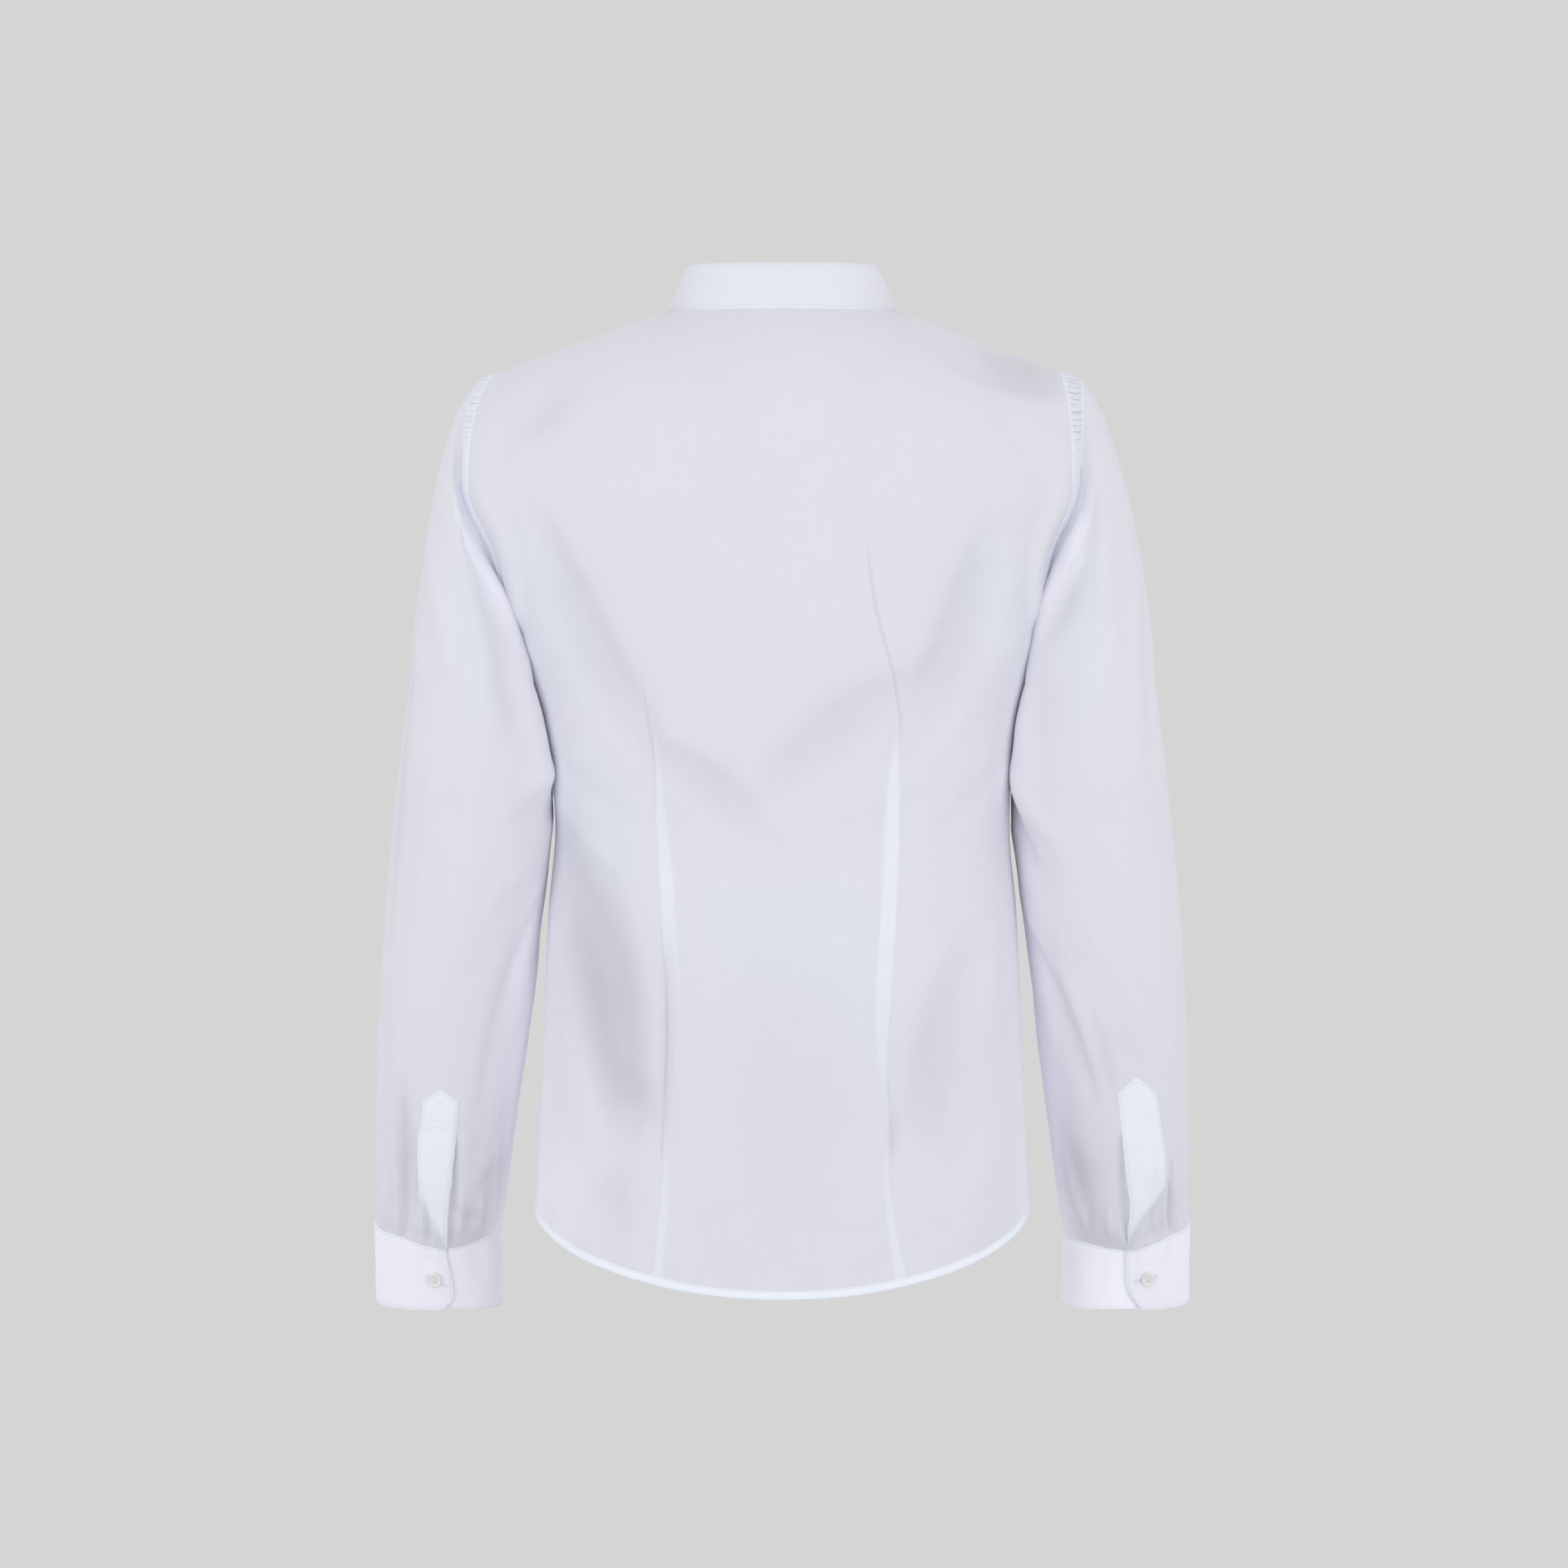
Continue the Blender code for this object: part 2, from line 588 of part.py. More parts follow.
def sleeve_form(side):
    angles = sleeve_angles()
    points = sleeve_rings(side, angles)
    centre = points.mean(axis=1, keepdims=True)
    normals = outward(surface_normals(points, around=True), points, centre)
    points = points + normals * pleat_heights(points, angles)[..., None]
    normals = outward(surface_normals(points, around=True), points, centre)
    return points, normals


def panel_walls(side):
    """Wall directions of the back and front along one armhole, in the order of the sleeve's columns."""
    edge = -1 if side > 0.0 else 0
    back = panel_form("back", back_columns)[1][HEM_ROWS:, edge]
    front = panel_form("front", lambda kind, row: side * front_columns(kind, row))[1][HEM_ROWS:, -1]
    return np.concatenate([back[::-1], front[1:-1]]) * np.array([side, 1.0, 1.0])


def make_sleeve(name, side):
    """The wall at the armhole follows the panels' walls at the shoulder, and the sleeve's own below."""
    points, normals = sleeve_form(side)
    points[0] += unit(points[1] - points[0]) * SEAM_GAP / 2.0
    axis = unit(np.array([0.0, -CUFF_TILT, -1.0]))
    points[-1] -= axis * SEAM_GAP / 2.0
    share = smooth(0.5 + 0.9 * np.cos(sleeve_angles()))[:, None]
    normals[0] = unit(normals[0] * (1.0 - share) + panel_walls(side) * share)
    normals[-1] -= (normals[-1] @ axis)[:, None] * axis
    normals = unit(normals)
    mirror = np.array([side, 1.0, 1.0])
    sheet_solid(name, points * mirror, (points - normals * CLOTH_WALL) * mirror, WHITE, 0.75, around=True)


# ---------------------------------------------------------------------------------------------------------
# Cuffs, plackets and buttons


def cuff_point(degrees, down, lift):
    """A point on the left cuff: angle round it, distance below its seam, and height over its form."""
    angle = np.radians(degrees)
    axis = unit(np.array([0.0, -CUFF_TILT, -1.0]))
    across, through = np.cos(angle), np.sin(angle)
    facing = np.stack([across * CUFF_HALF_DEPTH, through * CUFF_HALF_WIDTH, 0.0 * angle], axis=-1)
    facing = unit(facing - (facing @ axis)[..., None] * axis)
    x = CUFF_CENTRE + CUFF_HALF_WIDTH * across
    y = -CUFF_FORWARD + CUFF_HALF_DEPTH * through
    z = CUFF_SEAM - CUFF_TILT * CUFF_HALF_DEPTH * through
    return np.stack([x, y, z], axis=-1) + axis * down[..., None] + facing * lift[..., None]


def cuff_angles(side):
    """Angles from the overlap's end round the wrist to the underlap's end, in step with the sleeve."""
    end = WRISTS[side]["overlap_end"]
    step = 360.0 / SLEEVE_COLUMNS
    corner = [end - turn for turn in CORNER_STEPS]
    start = step * math.ceil(corner[-1] / step - 1.0)
    last = end - CUFF_OVERLAP_SPAN - 360.0
    return np.concatenate([corner, np.arange(start, last + 1.0, -step), [last]])


def make_cuff(name, side):
    angles = cuff_angles(side)
    end = WRISTS[side]["overlap_end"]
    lap_start = end - CUFF_OVERLAP_SPAN
    lift = (DOUBLED_WALL + SEAM_GAP) * smooth((angles - (lap_start - CUFF_LAP_EASE[0])) / CUFF_LAP_EASE[1])
    arc = np.radians(end - angles) * CUFF_HALF_WIDTH
    short = np.clip(CUFF_CORNER - arc, 0.0, CUFF_CORNER)
    round_off = CUFF_CORNER - np.sqrt(CUFF_CORNER ** 2 - short ** 2)
    top = SEAM_GAP + cuff_dip(side, np.radians(angles)) * math.sqrt(1.0 + CUFF_TILT ** 2)
    outer, inner = [], []
    for share in (0.0, 0.5, 1.0):
        down = top + (CUFF_HEIGHT - top) * share - round_off * max(0.0, 2.0 * share - 1.0)
        outer.append(cuff_point(angles, down, lift))
        inner.append(cuff_point(angles, down, lift - DOUBLED_WALL))
    mirror = np.array([side, 1.0, 1.0])
    sheet_solid(name, np.array(outer) * mirror, np.array(inner) * mirror, COLLAR_WHITE, 0.7)


def sleeve_point(points, degrees, up):
    """A point on a sleeve's sheet, by angle round it and height above the cuff seam."""
    position = degrees / 360.0 * SLEEVE_COLUMNS
    low = int(position)
    share = position - low
    line = (points[:, low] * (1.0 - share) + points[:, low + 1] * share)[::-1]
    travelled = np.concatenate([[0.0], np.cumsum(np.linalg.norm(np.diff(line, axis=0), axis=1))])
    return np.array([np.interp(up, travelled, line[:, axis]) for axis in range(3)])


def make_placket(name, side):
    """A strip with a pointed top, laid on the sleeve over the wrist opening."""
    points = sleeve_form(side)[0]
    middle, step = WRISTS[side]["placket"], 360.0 / SLEEVE_COLUMNS
    low, high = middle - PLACKET_HALF_ANGLE, middle + PLACKET_HALF_ANGLE
    bends = np.arange(step * math.ceil(low / step), high, step)
    angles = np.union1d(middle + PLACKET_HALF_ANGLE * np.array(PLACKET_COLUMNS), bends)
    tops = PLACKET_LENGTH - PLACKET_POINT * np.abs(angles - middle) / PLACKET_HALF_ANGLE
    sheet = np.array([[sleeve_point(points, angle, PLACKET_FOOT + (top - PLACKET_FOOT) * share)
                       for angle, top in zip(angles, tops)] for share in PLACKET_LEVELS])
    normals = surface_normals(sheet)
    normals = normals if normals[0, 3, 1] > 0.0 else -normals
    base = sheet + normals * PLACKET_LIFT
    mirror = np.array([side, 1.0, 1.0])
    sheet_solid(name, (base + normals * PLACKET_WALL) * mirror, base * mirror, COLLAR_WHITE, 0.7)


def make_button(name, place, facing):
    """A round shirt button: a dished disc with a rim, four holes and a level back."""
    sides, hole_sides = 14, 5
    along = unit(np.array(facing, dtype=float))
    level = unit(np.cross(along, np.array([0.0, 0.0, 1.0])))
    upright = np.cross(level, along)
    profile = ((BUTTON_RADIUS * 0.80, 0.0), (BUTTON_RADIUS, 0.0007), (BUTTON_RADIUS, 0.0015),
               (BUTTON_RADIUS * 0.86, BUTTON_THICKNESS), (BUTTON_RADIUS * 0.66, 0.0017))
    hole_radius, hole_offset = 0.0006, 0.00125
    mesh_data = bmesh.new()

    def spot(radius, angle, height, centre=(0.0, 0.0)):
        a = centre[0] + radius * math.cos(angle)
        b = centre[1] + radius * math.sin(angle)
        return mesh_data.verts.new(place + level * a + upright * b + along * height)

    rims = []
    for radius, height in profile:
        rims.append([spot(radius, 2 * math.pi * i / sides, height) for i in range(sides)])
    for low, high in zip(rims, rims[1:]):
        for i in range(sides):
            n = (i + 1) % sides
            mesh_data.faces.new((low[i], low[n], high[n], high[i]))
    centres = [(hole_offset * a, hole_offset * b) for a in (-1, 1) for b in (-1, 1)]
    holes = []
    for centre in centres:
        wall = [[spot(hole_radius, 2 * math.pi * i / hole_sides, height, centre) for i in range(hole_sides)]
                for height in (0.0, 0.0017)]
        for i in range(hole_sides):
            n = (i + 1) % hole_sides
            mesh_data.faces.new((wall[0][i], wall[0][n], wall[1][n], wall[1][i]))
        holes.append(wall)
    for level_index, rim in ((0, rims[0]), (1, rims[-1])):
        loops = [rim] + [wall[level_index] for wall in holes]
        edges = []
        for loop in loops:
            for i, vert in enumerate(loop):
                edges.append(mesh_data.edges.get((vert, loop[(i + 1) % len(loop)])))
        bmesh.ops.triangle_fill(mesh_data, use_beauty=True, use_dissolve=False, edges=edges)
    return add_object(name, mesh_data, PEARL, 0.3)


def make_cuff_button(name, side):
    down = np.array([CUFF_HEIGHT * CUFF_BUTTON_SHARE])
    angle = np.array([WRISTS[side]["button"]])
    base = cuff_point(angle, down, np.array([DOUBLED_WALL + SEAM_GAP]))[0]
    facing = unit(base - cuff_point(angle, down, np.array([0.0]))[0])
    mirror = np.array([side, 1.0, 1.0])
    make_button(name, (base + facing * BUTTON_LIFT) * mirror, facing * mirror)


def make_front_buttons():
    """Seven buttons down the centre line of the right front, evenly spaced."""
    points, normals = lapped_front_form()
    line, ways = points[:, 1], normals[:, 1]
    for number in range(FRONT_BUTTONS):
        height = FIRST_BUTTON - BUTTON_PITCH * number
        base = np.array([np.interp(height, line[:, 2], line[:, axis]) for axis in range(3)])
        facing = np.array([np.interp(height, line[:, 2], ways[:, axis]) for axis in range(3)])
        facing = unit(facing * np.array([0.0, 1.0, 1.0]))
        make_button("front_button_%d" % (number + 1), base + facing * BUTTON_LIFT, facing)


def main():
    start_empty()
    make_back()
    make_fronts()
    make_collar()
    for name, side in SIDES:
        make_sleeve("sleeve_" + name, side)
        make_placket("sleeve_placket_" + name, side)
        make_cuff("cuff_" + name, side)
        make_cuff_button("cuff_button_" + name, side)
    make_front_buttons()


main()
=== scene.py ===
"""Looks of a mandarin collar blouse in light white cotton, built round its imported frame.

Metres, +Z up.  The front faces -Y and the wearer's left is +X.  The origin is the middle of the neck base,
level with the points where the shoulder seams meet the collar.
"""

import math

import bmesh
import bpy
import numpy as np
from mathutils.bvhtree import BVHTree
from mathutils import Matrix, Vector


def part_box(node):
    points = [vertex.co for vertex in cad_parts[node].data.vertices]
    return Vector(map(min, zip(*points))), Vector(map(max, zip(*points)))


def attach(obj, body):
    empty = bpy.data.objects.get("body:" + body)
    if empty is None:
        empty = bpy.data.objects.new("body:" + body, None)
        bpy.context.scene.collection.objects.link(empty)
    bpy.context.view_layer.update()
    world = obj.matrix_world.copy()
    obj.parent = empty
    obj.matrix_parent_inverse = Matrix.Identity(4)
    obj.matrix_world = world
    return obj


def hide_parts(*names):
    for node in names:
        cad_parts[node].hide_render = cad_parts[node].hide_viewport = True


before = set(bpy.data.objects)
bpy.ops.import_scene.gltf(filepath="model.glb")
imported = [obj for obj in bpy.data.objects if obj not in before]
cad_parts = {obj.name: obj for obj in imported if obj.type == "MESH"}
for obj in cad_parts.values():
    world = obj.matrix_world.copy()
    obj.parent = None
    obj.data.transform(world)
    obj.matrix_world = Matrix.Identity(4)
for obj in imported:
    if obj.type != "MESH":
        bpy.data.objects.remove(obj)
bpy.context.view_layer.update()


# ------------------------------------------------------------------------------------------------
# Back
# One panel of light cotton poplin from side seam to side seam, with no yoke.  Two long darts take in the
# waist; their folds are pressed towards the centre and show as paler strips of doubled cloth.

UNDERARM = -0.222
SHOULDER_TIP = (0.1955, -0.0435)
HEM_SIDE = -0.600
HEM_CURVE = (2.2, 2.15)
TAIL = {"back": 0.054, "front": 0.042}
ROLL_START = {"back": (-0.090, -0.118), "front": (-0.132, -0.118)}
ROLL_TOP = -0.095
NECK_HALF_WIDTH = 0.0755
NECK_DEPTH = 0.066
NECK_DROP = {"back": 0.002, "front": 0.060}
NECK_SHARE = 0.42
NECK_FLATTER = 48.0
SEAM_FORWARD = 0.004
EDGE_STAND_OUT, EDGE_SPREAD, EDGE_SHARE = 0.0070, 0.0015, 0.20
EDGE_RISE, EDGE_FALL = 0.030, 0.040
CLOTH = 0.0005
FULLNESS, ARMPIT_FULLNESS = 0.80, 0.62
FACING = {"back": 1.0, "front": -1.0}
UPRIGHT_ROWS, ARM_ROWS, ROLL_ROWS = 127, 32, 40
HALF_COLUMNS = 98
FOLD_GAIN = 1.3
UNEVEN = (0.00022, 0.150)


def metres(plain, *rows):
    """A table written in millimetres, with its last columns left as they are."""
    return tuple(tuple(value / 1000.0 for value in row[:len(row) - plain]) + row[len(row) - plain:]
                 for row in rows)


# Half width, depth at the centre of back and front, depth at the edge, lean to the left, sweep in degrees
SECTION_COLUMNS = ("height", "half_width", "back", "front", "edge_back", "edge_front", "lean", "sweep")
SECTIONS = metres(1,
    (-690, 168, 106, 110, 0, 0, 0, 90), (-600, 165, 104, 112, 0, 0, 0, 90),
    (-490, 160.3, 96, 109, 0, 0, 0, 90), (-400, 156.5, 87, 105, 0, 0, 0, 90),
    (-345, 152, 83, 104, 0, 0, 0, 90), (-285, 157, 89, 113, 0, 0, 1.5, 90),
    (-222, 174, 100, 122, 0, 0, 3.8, 90), (-203, 178.5, 103, 121, 22, 21, 4.6, 82),
    (-165, 187.5, 106, 117, 35, 33, 7.5, 70), (-118, 206, 107, 110, 40, 37, 8, 62),
    (-80, 205, 107, 102, 40, 37, 6, 60))

# Darts: where the sewn line lies at each height, how wide the pressed fold beside it is, how pale it shows,
# and how sharply the line is drawn in
DART_COLUMNS = ("height", "line", "fold", "pale", "cut")
DARTS = {
    "back_left": metres(2,
        (-660, 87.2, 7, 0.55, 0.15), (-645.2, 86.5, 7, 0.6, 0.15), (-574.5, 80.5, 6, 0.45, 0.35),
        (-552.7, 80, 6, 0.1, 1), (-482, 77.8, 8, 0.05, 1.1), (-449.3, 78.3, 10, 0.25, 0.9),
        (-416.7, 81.1, 11, 0.65, 0.6), (-373.2, 82.7, 10, 0.8, 0.3), (-335.1, 84.9, 7, 0.6, 0.5),
        (-307.9, 85.4, 5, 0.35, 0.9), (-283.4, 89.2, 3, 0.1, 1), (-230.7, 96.8, 2, 0, 1)),
    "back_right": metres(2,
        (-660, -85.6, 10, 0.6, 0.15), (-645.2, -83.8, 9, 0.65, 0.15), (-607.1, -75.6, 6, 0.6, 0.2),
        (-569, -71.8, 5, 0.5, 0.4), (-552.7, -72.9, 6, 0.15, 0.9), (-498.3, -71.3, 8, 0.55, 0.5),
        (-443.9, -74, 12, 0.75, 0.25), (-389.5, -76.8, 11, 0.9, 0.15), (-335.1, -78.3, 10, 0.95, 0.15),
        (-313.3, -78.3, 8, 0.8, 0.2), (-280.7, -79.4, 4, 0.2, 0.8), (-253.5, -75.6, 3, 0.05, 1),
        (-199.1, -61.5, 2, 0, 1), (-139.3, -53.9, 2, 0, 0.9)),
}
DART_ROW_SHARE = {"back_left": 0.36, "back_right": -0.31}
DART_GROOVE, DART_FOLD, DART_HOLLOW = 0.0011, 0.00055, 0.0020

# Soft creases: start x, z, end x, z, bow to the left of the way, half width, height, skew to that side
BACK_CREASES = metres(1,
    (160, -150, 89, -285, 6, 18, -8.5, 0.35), (172, -150, 118, -280, 4, 16, 4, 0),
    (-134, -160, -83, -282, -6, 17, -7.8, -0.35), (-152, -170, -108, -290, -4, 16, 3.6, 0),
    (86, -292, 12, -350, -4, 14, -4.8, 0.3), (14, -326, -86, -248, -6, 17, -5.2, 0.2),
    (78, -318, 10, -372, -3, 13, 2.6, 0), (-4, -358, -74, -318, -4, 14, 2.4, 0),
    (148, -362, 106, -552, -6, 24, -17, -0.45), (114, -520, 84, -540, -4, 13, -3, 0),
    (104, -400, 92, -530, -4, 13, 3, 0), (114, -568, 106, -612, 0, 12, -2.2, 0),
    (-128, -430, -86, -570, 8, 21, -8.5, 0.3), (-106, -420, -88, -500, 2, 13, 2, 0),
    (178, -90, 128, -24, 6, 12, -3.4, 0.1), (190, -70, 160, -40, 2, 8, 1.4, 0),
    (-190, -52, -100, -22, -4, 14, -7, 0.3), (-176, -110, -140, -60, -3, 13, -1.6, 0),
    (-18, -611, -68, -610, 1, 4, -0.6, 0), (150, -300, 96, -345, 3, 8, -1.6, 0),
    (-146, -302, -100, -352, -3, 8, -1.5, 0), (152, -326, 110, -372, 3, 7, 1, 0),
    (60, -20, 30, -62, 3, 9, -1, 0), (-62, -22, -36, -70, -3, 10, -1, 0),
    (45, -540, 30, -645, 4, 16, 1.4, 0), (-40, -560, -52, -640, -4, 14, 1.2, 0),
    (136, -560, 128, -625, 2, 13, 2.2, 0), (-134, -560, -128, -622, 2, 13, 1.8, 0))

# Painted cool light, tinting the back's colour cooler where the side light falls: the same columns, with the
# amount in place of the height
BACK_PAINTED_COOL_LIGHT = metres(2,
    (180, -140, 130, -270, 0, 22, 0.8, 0), (145, -285, 105, -385, 0, 26, 0.85, 0),
    (-128, -150, -170, -250, 0, 26, 0.75, 0), (70, -390, -60, -420, 12, 40, 0.55, 0),
    (-30, -370, -74, -520, 0, 28, 0.55, 0), (20, -240, 60, -280, 0, 22, 0.3, 0),
    (30, -460, 20, -560, 0, 45, 0.1, 0))

# Painted shade, darkening the back's colour in its hollows and creases, and painted light where the amount is
# negative: the same columns again
BACK_PAINTED_SHADING = metres(2,
    (146, -366, 106, -535, -3, 23, 0.95, -0.2), (112, -500, 84, -540, -2, 17, 0.36, 0),
    (110, -564, 107, -616, 0, 14, 0.3, 0), (149, -545, 143, -640, 0, 14, -0.45, 0),
    (152, -155, 92, -285, 6, 18, 0.32, 0), (-130, -155, -86, -285, -6, 18, 0.32, 0),
    (86, -292, 13, -350, -4, 14, 0.3, 0), (13, -326, -86, -248, -6, 16, 0.3, 0),
    (-116, -445, -98, -560, 6, 22, 0.45, 0), (-188, -50, -128, -30, -3, 15, 0.6, 0),
    (176, -90, 140, -50, 4, 12, 0.25, 0), (75, -415, 76, -545, 0, 4, 0.35, 0),
    (-73.5, -530, -72, -562, 0, 4, 0.4, 0), (0, -420, 0, -620, 0, 60, 0.2, 0))
# The sides catch more light: how much low down and by the armpit, then where each change begins and over what
# distance it takes place
SIDE_LIGHT, ARMPIT_LIGHT = 0.75, 1.60
LIGHT_ACROSS, LIGHT_BELOW, ARMPIT_ABOVE = (0.72, 0.20), (-0.190, -0.070), (-0.370, 0.050)


def smooth(value):
    """Rise from 0 to 1 with level ends."""
    value = np.clip(value, 0.0, 1.0)
    return value * value * (3.0 - 2.0 * value)


def ramp(value, start, length):
    """Rise from 0 at the start to 1 a length further on; a negative length rises the other way."""
    return smooth((value - start) / length)


def hump(value, power=2):
    """A soft hump, 1 where the value is 0 and fading either way."""
    return np.exp(-np.abs(value) ** power)


def unit(vectors):
    return vectors / np.maximum(np.linalg.norm(vectors, axis=-1, keepdims=True), 1e-12)


def travelled(line):
    """Distance along a line of points, from its first one."""
    return np.concatenate([[0.0], np.cumsum(np.linalg.norm(np.diff(line, axis=0), axis=1))])


def along_axes(at, places, line):
    """Points of a line whose places are given, read at other places."""
    return np.stack([np.interp(at, places, line[:, axis]) for axis in range(line.shape[1])], axis=-1)


def column(table, names, name, height):
    """Read one named column of a table at any height, smoothly and without overshoot."""
    rows = np.array(sorted(table))
    at, value = rows[:, 0], rows[:, names.index(name)]
    step = np.diff(at)
    slope = np.diff(value) / step
    same_way = slope[:-1] * slope[1:] > 0.0
    total = np.where(same_way, slope[:-1] + slope[1:], 1.0)
    inner = np.where(same_way, 2.0 * slope[:-1] * slope[1:] / total, 0.0)
    tangent = np.concatenate([slope[:1], inner, slope[-1:]])
    height = np.clip(height, at[0], at[-1])
    i = np.clip(np.searchsorted(at, height, side="right") - 1, 0, len(at) - 2)
    t = (height - at[i]) / step[i]
    start = (1.0 + 2.0 * t) * (1.0 - t) ** 2 * value[i] + t * (1.0 - t) ** 2 * step[i] * tangent[i]
    end = t * t * (3.0 - 2.0 * t) * value[i + 1] - t * t * (1.0 - t) * step[i] * tangent[i + 1]
    return start + end


def body(name, height):
    return column(SECTIONS, SECTION_COLUMNS, name, height)


def section_point(face, across, height):
    """A point of the body at a height; across is 0 at the centre line and 1 at the side or armhole edge."""
    sweep = np.radians(body("sweep", height))
    turn = across * sweep
    edge = body("edge_" + face, height)
    curve = np.clip((np.cos(turn) - np.cos(sweep)) / (1.0 - np.cos(sweep)), 0.0, 1.0)
    armpit = FULLNESS + (ARMPIT_FULLNESS - FULLNESS) * smooth((height - UNDERARM + 0.140) / 0.060)
    fuller = 1.0 - (1.0 - armpit) * smooth((UNDERARM + 0.034 - height) / 0.040) * (face == "back")
    depth = edge + (body(face, height) - edge) * curve ** fuller
    x = body("half_width", height) * np.sin(turn) / np.sin(sweep) + body("lean", height) * across ** 2
    size = np.abs(across)
    near = np.sin(np.pi * np.clip((size - 1.0 + EDGE_SHARE) / EDGE_SHARE, 0.0, 1.0)) ** 2
    near = near * ramp(height, UNDERARM, EDGE_RISE) * ramp(height, ROLL_TOP, -EDGE_FALL)
    x = x + np.sign(across) * EDGE_SPREAD * near
    return np.stack([x, FACING[face] * (depth + EDGE_STAND_OUT * near), height + 0.0 * x], axis=-1)


def top_point(face, across):
    """The upper edge of a panel: the neck curve, then the shoulder seam out to its tip."""
    size = np.abs(across)
    turn = np.radians(90.0) * np.clip(size / NECK_SHARE, 0.0, 1.0)
    along = np.clip((size - NECK_SHARE) / (1.0 - NECK_SHARE), 0.0, 1.0)
    x = NECK_HALF_WIDTH * np.sin(turn) + (SHOULDER_TIP[0] - NECK_HALF_WIDTH) * along
    level = np.maximum(np.cos(turn), 0.0)
    depth, drop = (level, level) if face == "back" else (level ** 0.9, level ** 1.6)
    z = SHOULDER_TIP[1] * along - NECK_DROP[face] * drop
    return np.stack([np.sign(across) * x, FACING[face] * NECK_DEPTH * depth - SEAM_FORWARD, z], axis=-1)


def panel_sheet(face, levels, across, top):
    """Points of a panel; levels run from 0 at the hem by 1 at the underarm and 2 at the roll to 3."""
    level = levels[:, None] + 0.0 * across
    power, lead = HEM_CURVE
    size = np.abs(across)
    low = HEM_SIDE - TAIL[face] * (1.0 - size ** power * (lead - (lead - 1.0) * size))
    centre, edge = ROLL_START[face]
    high = centre + (edge - centre) * across ** 2
    chest = UNDERARM + (high - UNDERARM) * np.clip(level - 1.0, 0.0, 1.0)
    points = section_point(face, across, np.where(level < 1.0, low + (UNDERARM - low) * level, chest))
    rise = top_point(face, top) - points
    neck = np.cos(np.pi / 2.0 * np.clip(np.abs(top) / NECK_SHARE, 0.0, 1.0))
    last = np.radians(90.0 - NECK_FLATTER * neck)
    turn = last * np.clip(level - 2.0, 0.0, 1.0)
    out = (1.0 - np.cos(turn)) / (1.0 - np.cos(last))
    return points + rise * np.stack([out, out, np.sin(turn) / np.sin(last)], axis=-1)


def surface_normals(points, outside, around=False):
    """Normals of a sheet of points, on the side that the outside vector is on for most of them."""
    beside = (np.roll(points, way, axis=1) for way in (-1, 1))
    along = np.subtract(*beside) if around else np.gradient(points, axis=1)
    normals = unit(np.cross(along, np.gradient(points, axis=0)))
    return normals if np.sum(normals * outside) > 0.0 else -normals


def crease_heights(creases, place):
    """Sum of soft ridges and troughs, each along its own bowed line on the flat of the cloth."""
    total = np.zeros(place.shape[:-1])
    for x0, z0, x1, z1, bow, half_width, height, skew in creases:
        run = np.array([x1 - x0, z1 - z0])
        length = np.linalg.norm(run)
        ahead = run / length
        away = place - np.array([x0, z0])
        along = away @ ahead / length
        t = np.clip(along, 0.0, 1.0)
        beside = away @ np.array([-ahead[1], ahead[0]]) - bow * 4.0 * t * (1.0 - t)
        width = half_width * (1.0 + skew * np.tanh(beside / half_width)) * (0.6 + 0.4 * np.sin(np.pi * t))
        past = (along - t) * length / half_width
        fade = np.sin(np.pi * np.clip(0.07 + 0.86 * t, 0.0, 1.0)) ** 0.8
        total += height * fade * hump(beside / width) * hump(past)
    return total


def drift(place, seed, height, longest):
    """The slight unevenness of pressed cloth: a few long waves in seeded directions."""
    random = np.random.default_rng(seed)
    total = np.zeros(place.shape[:-1])
    for i in range(9):
        way = random.uniform(0.0, 2.0 * math.pi)
        length = longest * 0.80 ** i
        phase = random.uniform(0.0, 2.0 * math.pi)
        run = place @ np.array([math.cos(way), math.sin(way)])
        total += height * 0.85 ** i * np.sin(2.0 * math.pi * run / length + phase)
    return total


def dart_shape(name, place):
    """Height of the cloth over a dart and how much of it is the pale pressed fold."""
    x, z = place[..., 0], place[..., 1]
    line, fold, pale, cut = (column(DARTS[name], DART_COLUMNS, title, z) for title in DART_COLUMNS[1:])
    inward = (line - x) * np.sign(line)
    heights = [row[0] for row in DARTS[name]]
    present = smooth((max(heights) - z) / 0.045) * smooth((z - min(heights) + 0.020) / 0.020)
    groove = DART_GROOVE * cut * hump(inward / 0.0011, 1.4)
    lifted = DART_FOLD * ramp(inward, 0.0003, 0.0012) * (1.0 - smooth((inward - fold) / 0.0022))
    drawn = DART_HOLLOW * hump(inward / 0.010)
    doubled = smooth(inward / 0.0008) * (1.0 - smooth((inward - fold + 0.0012) / 0.0024))
    return (lifted - groove - drawn) * present, 0.66 * doubled * pale * present


def spread(low, high, count, clusters):
    """Places from low to high, closer together round each (place, strength, reach)."""
    fine = np.linspace(low, high, 4001)
    crowd = 1.0 + sum(strength * hump((fine - place) / reach) for place, strength, reach in clusters)
    share = np.concatenate([[0.0], np.cumsum((crowd[1:] + crowd[:-1]) / 2.0)])
    return np.interp(np.linspace(0.0, share[-1], count), share, fine)


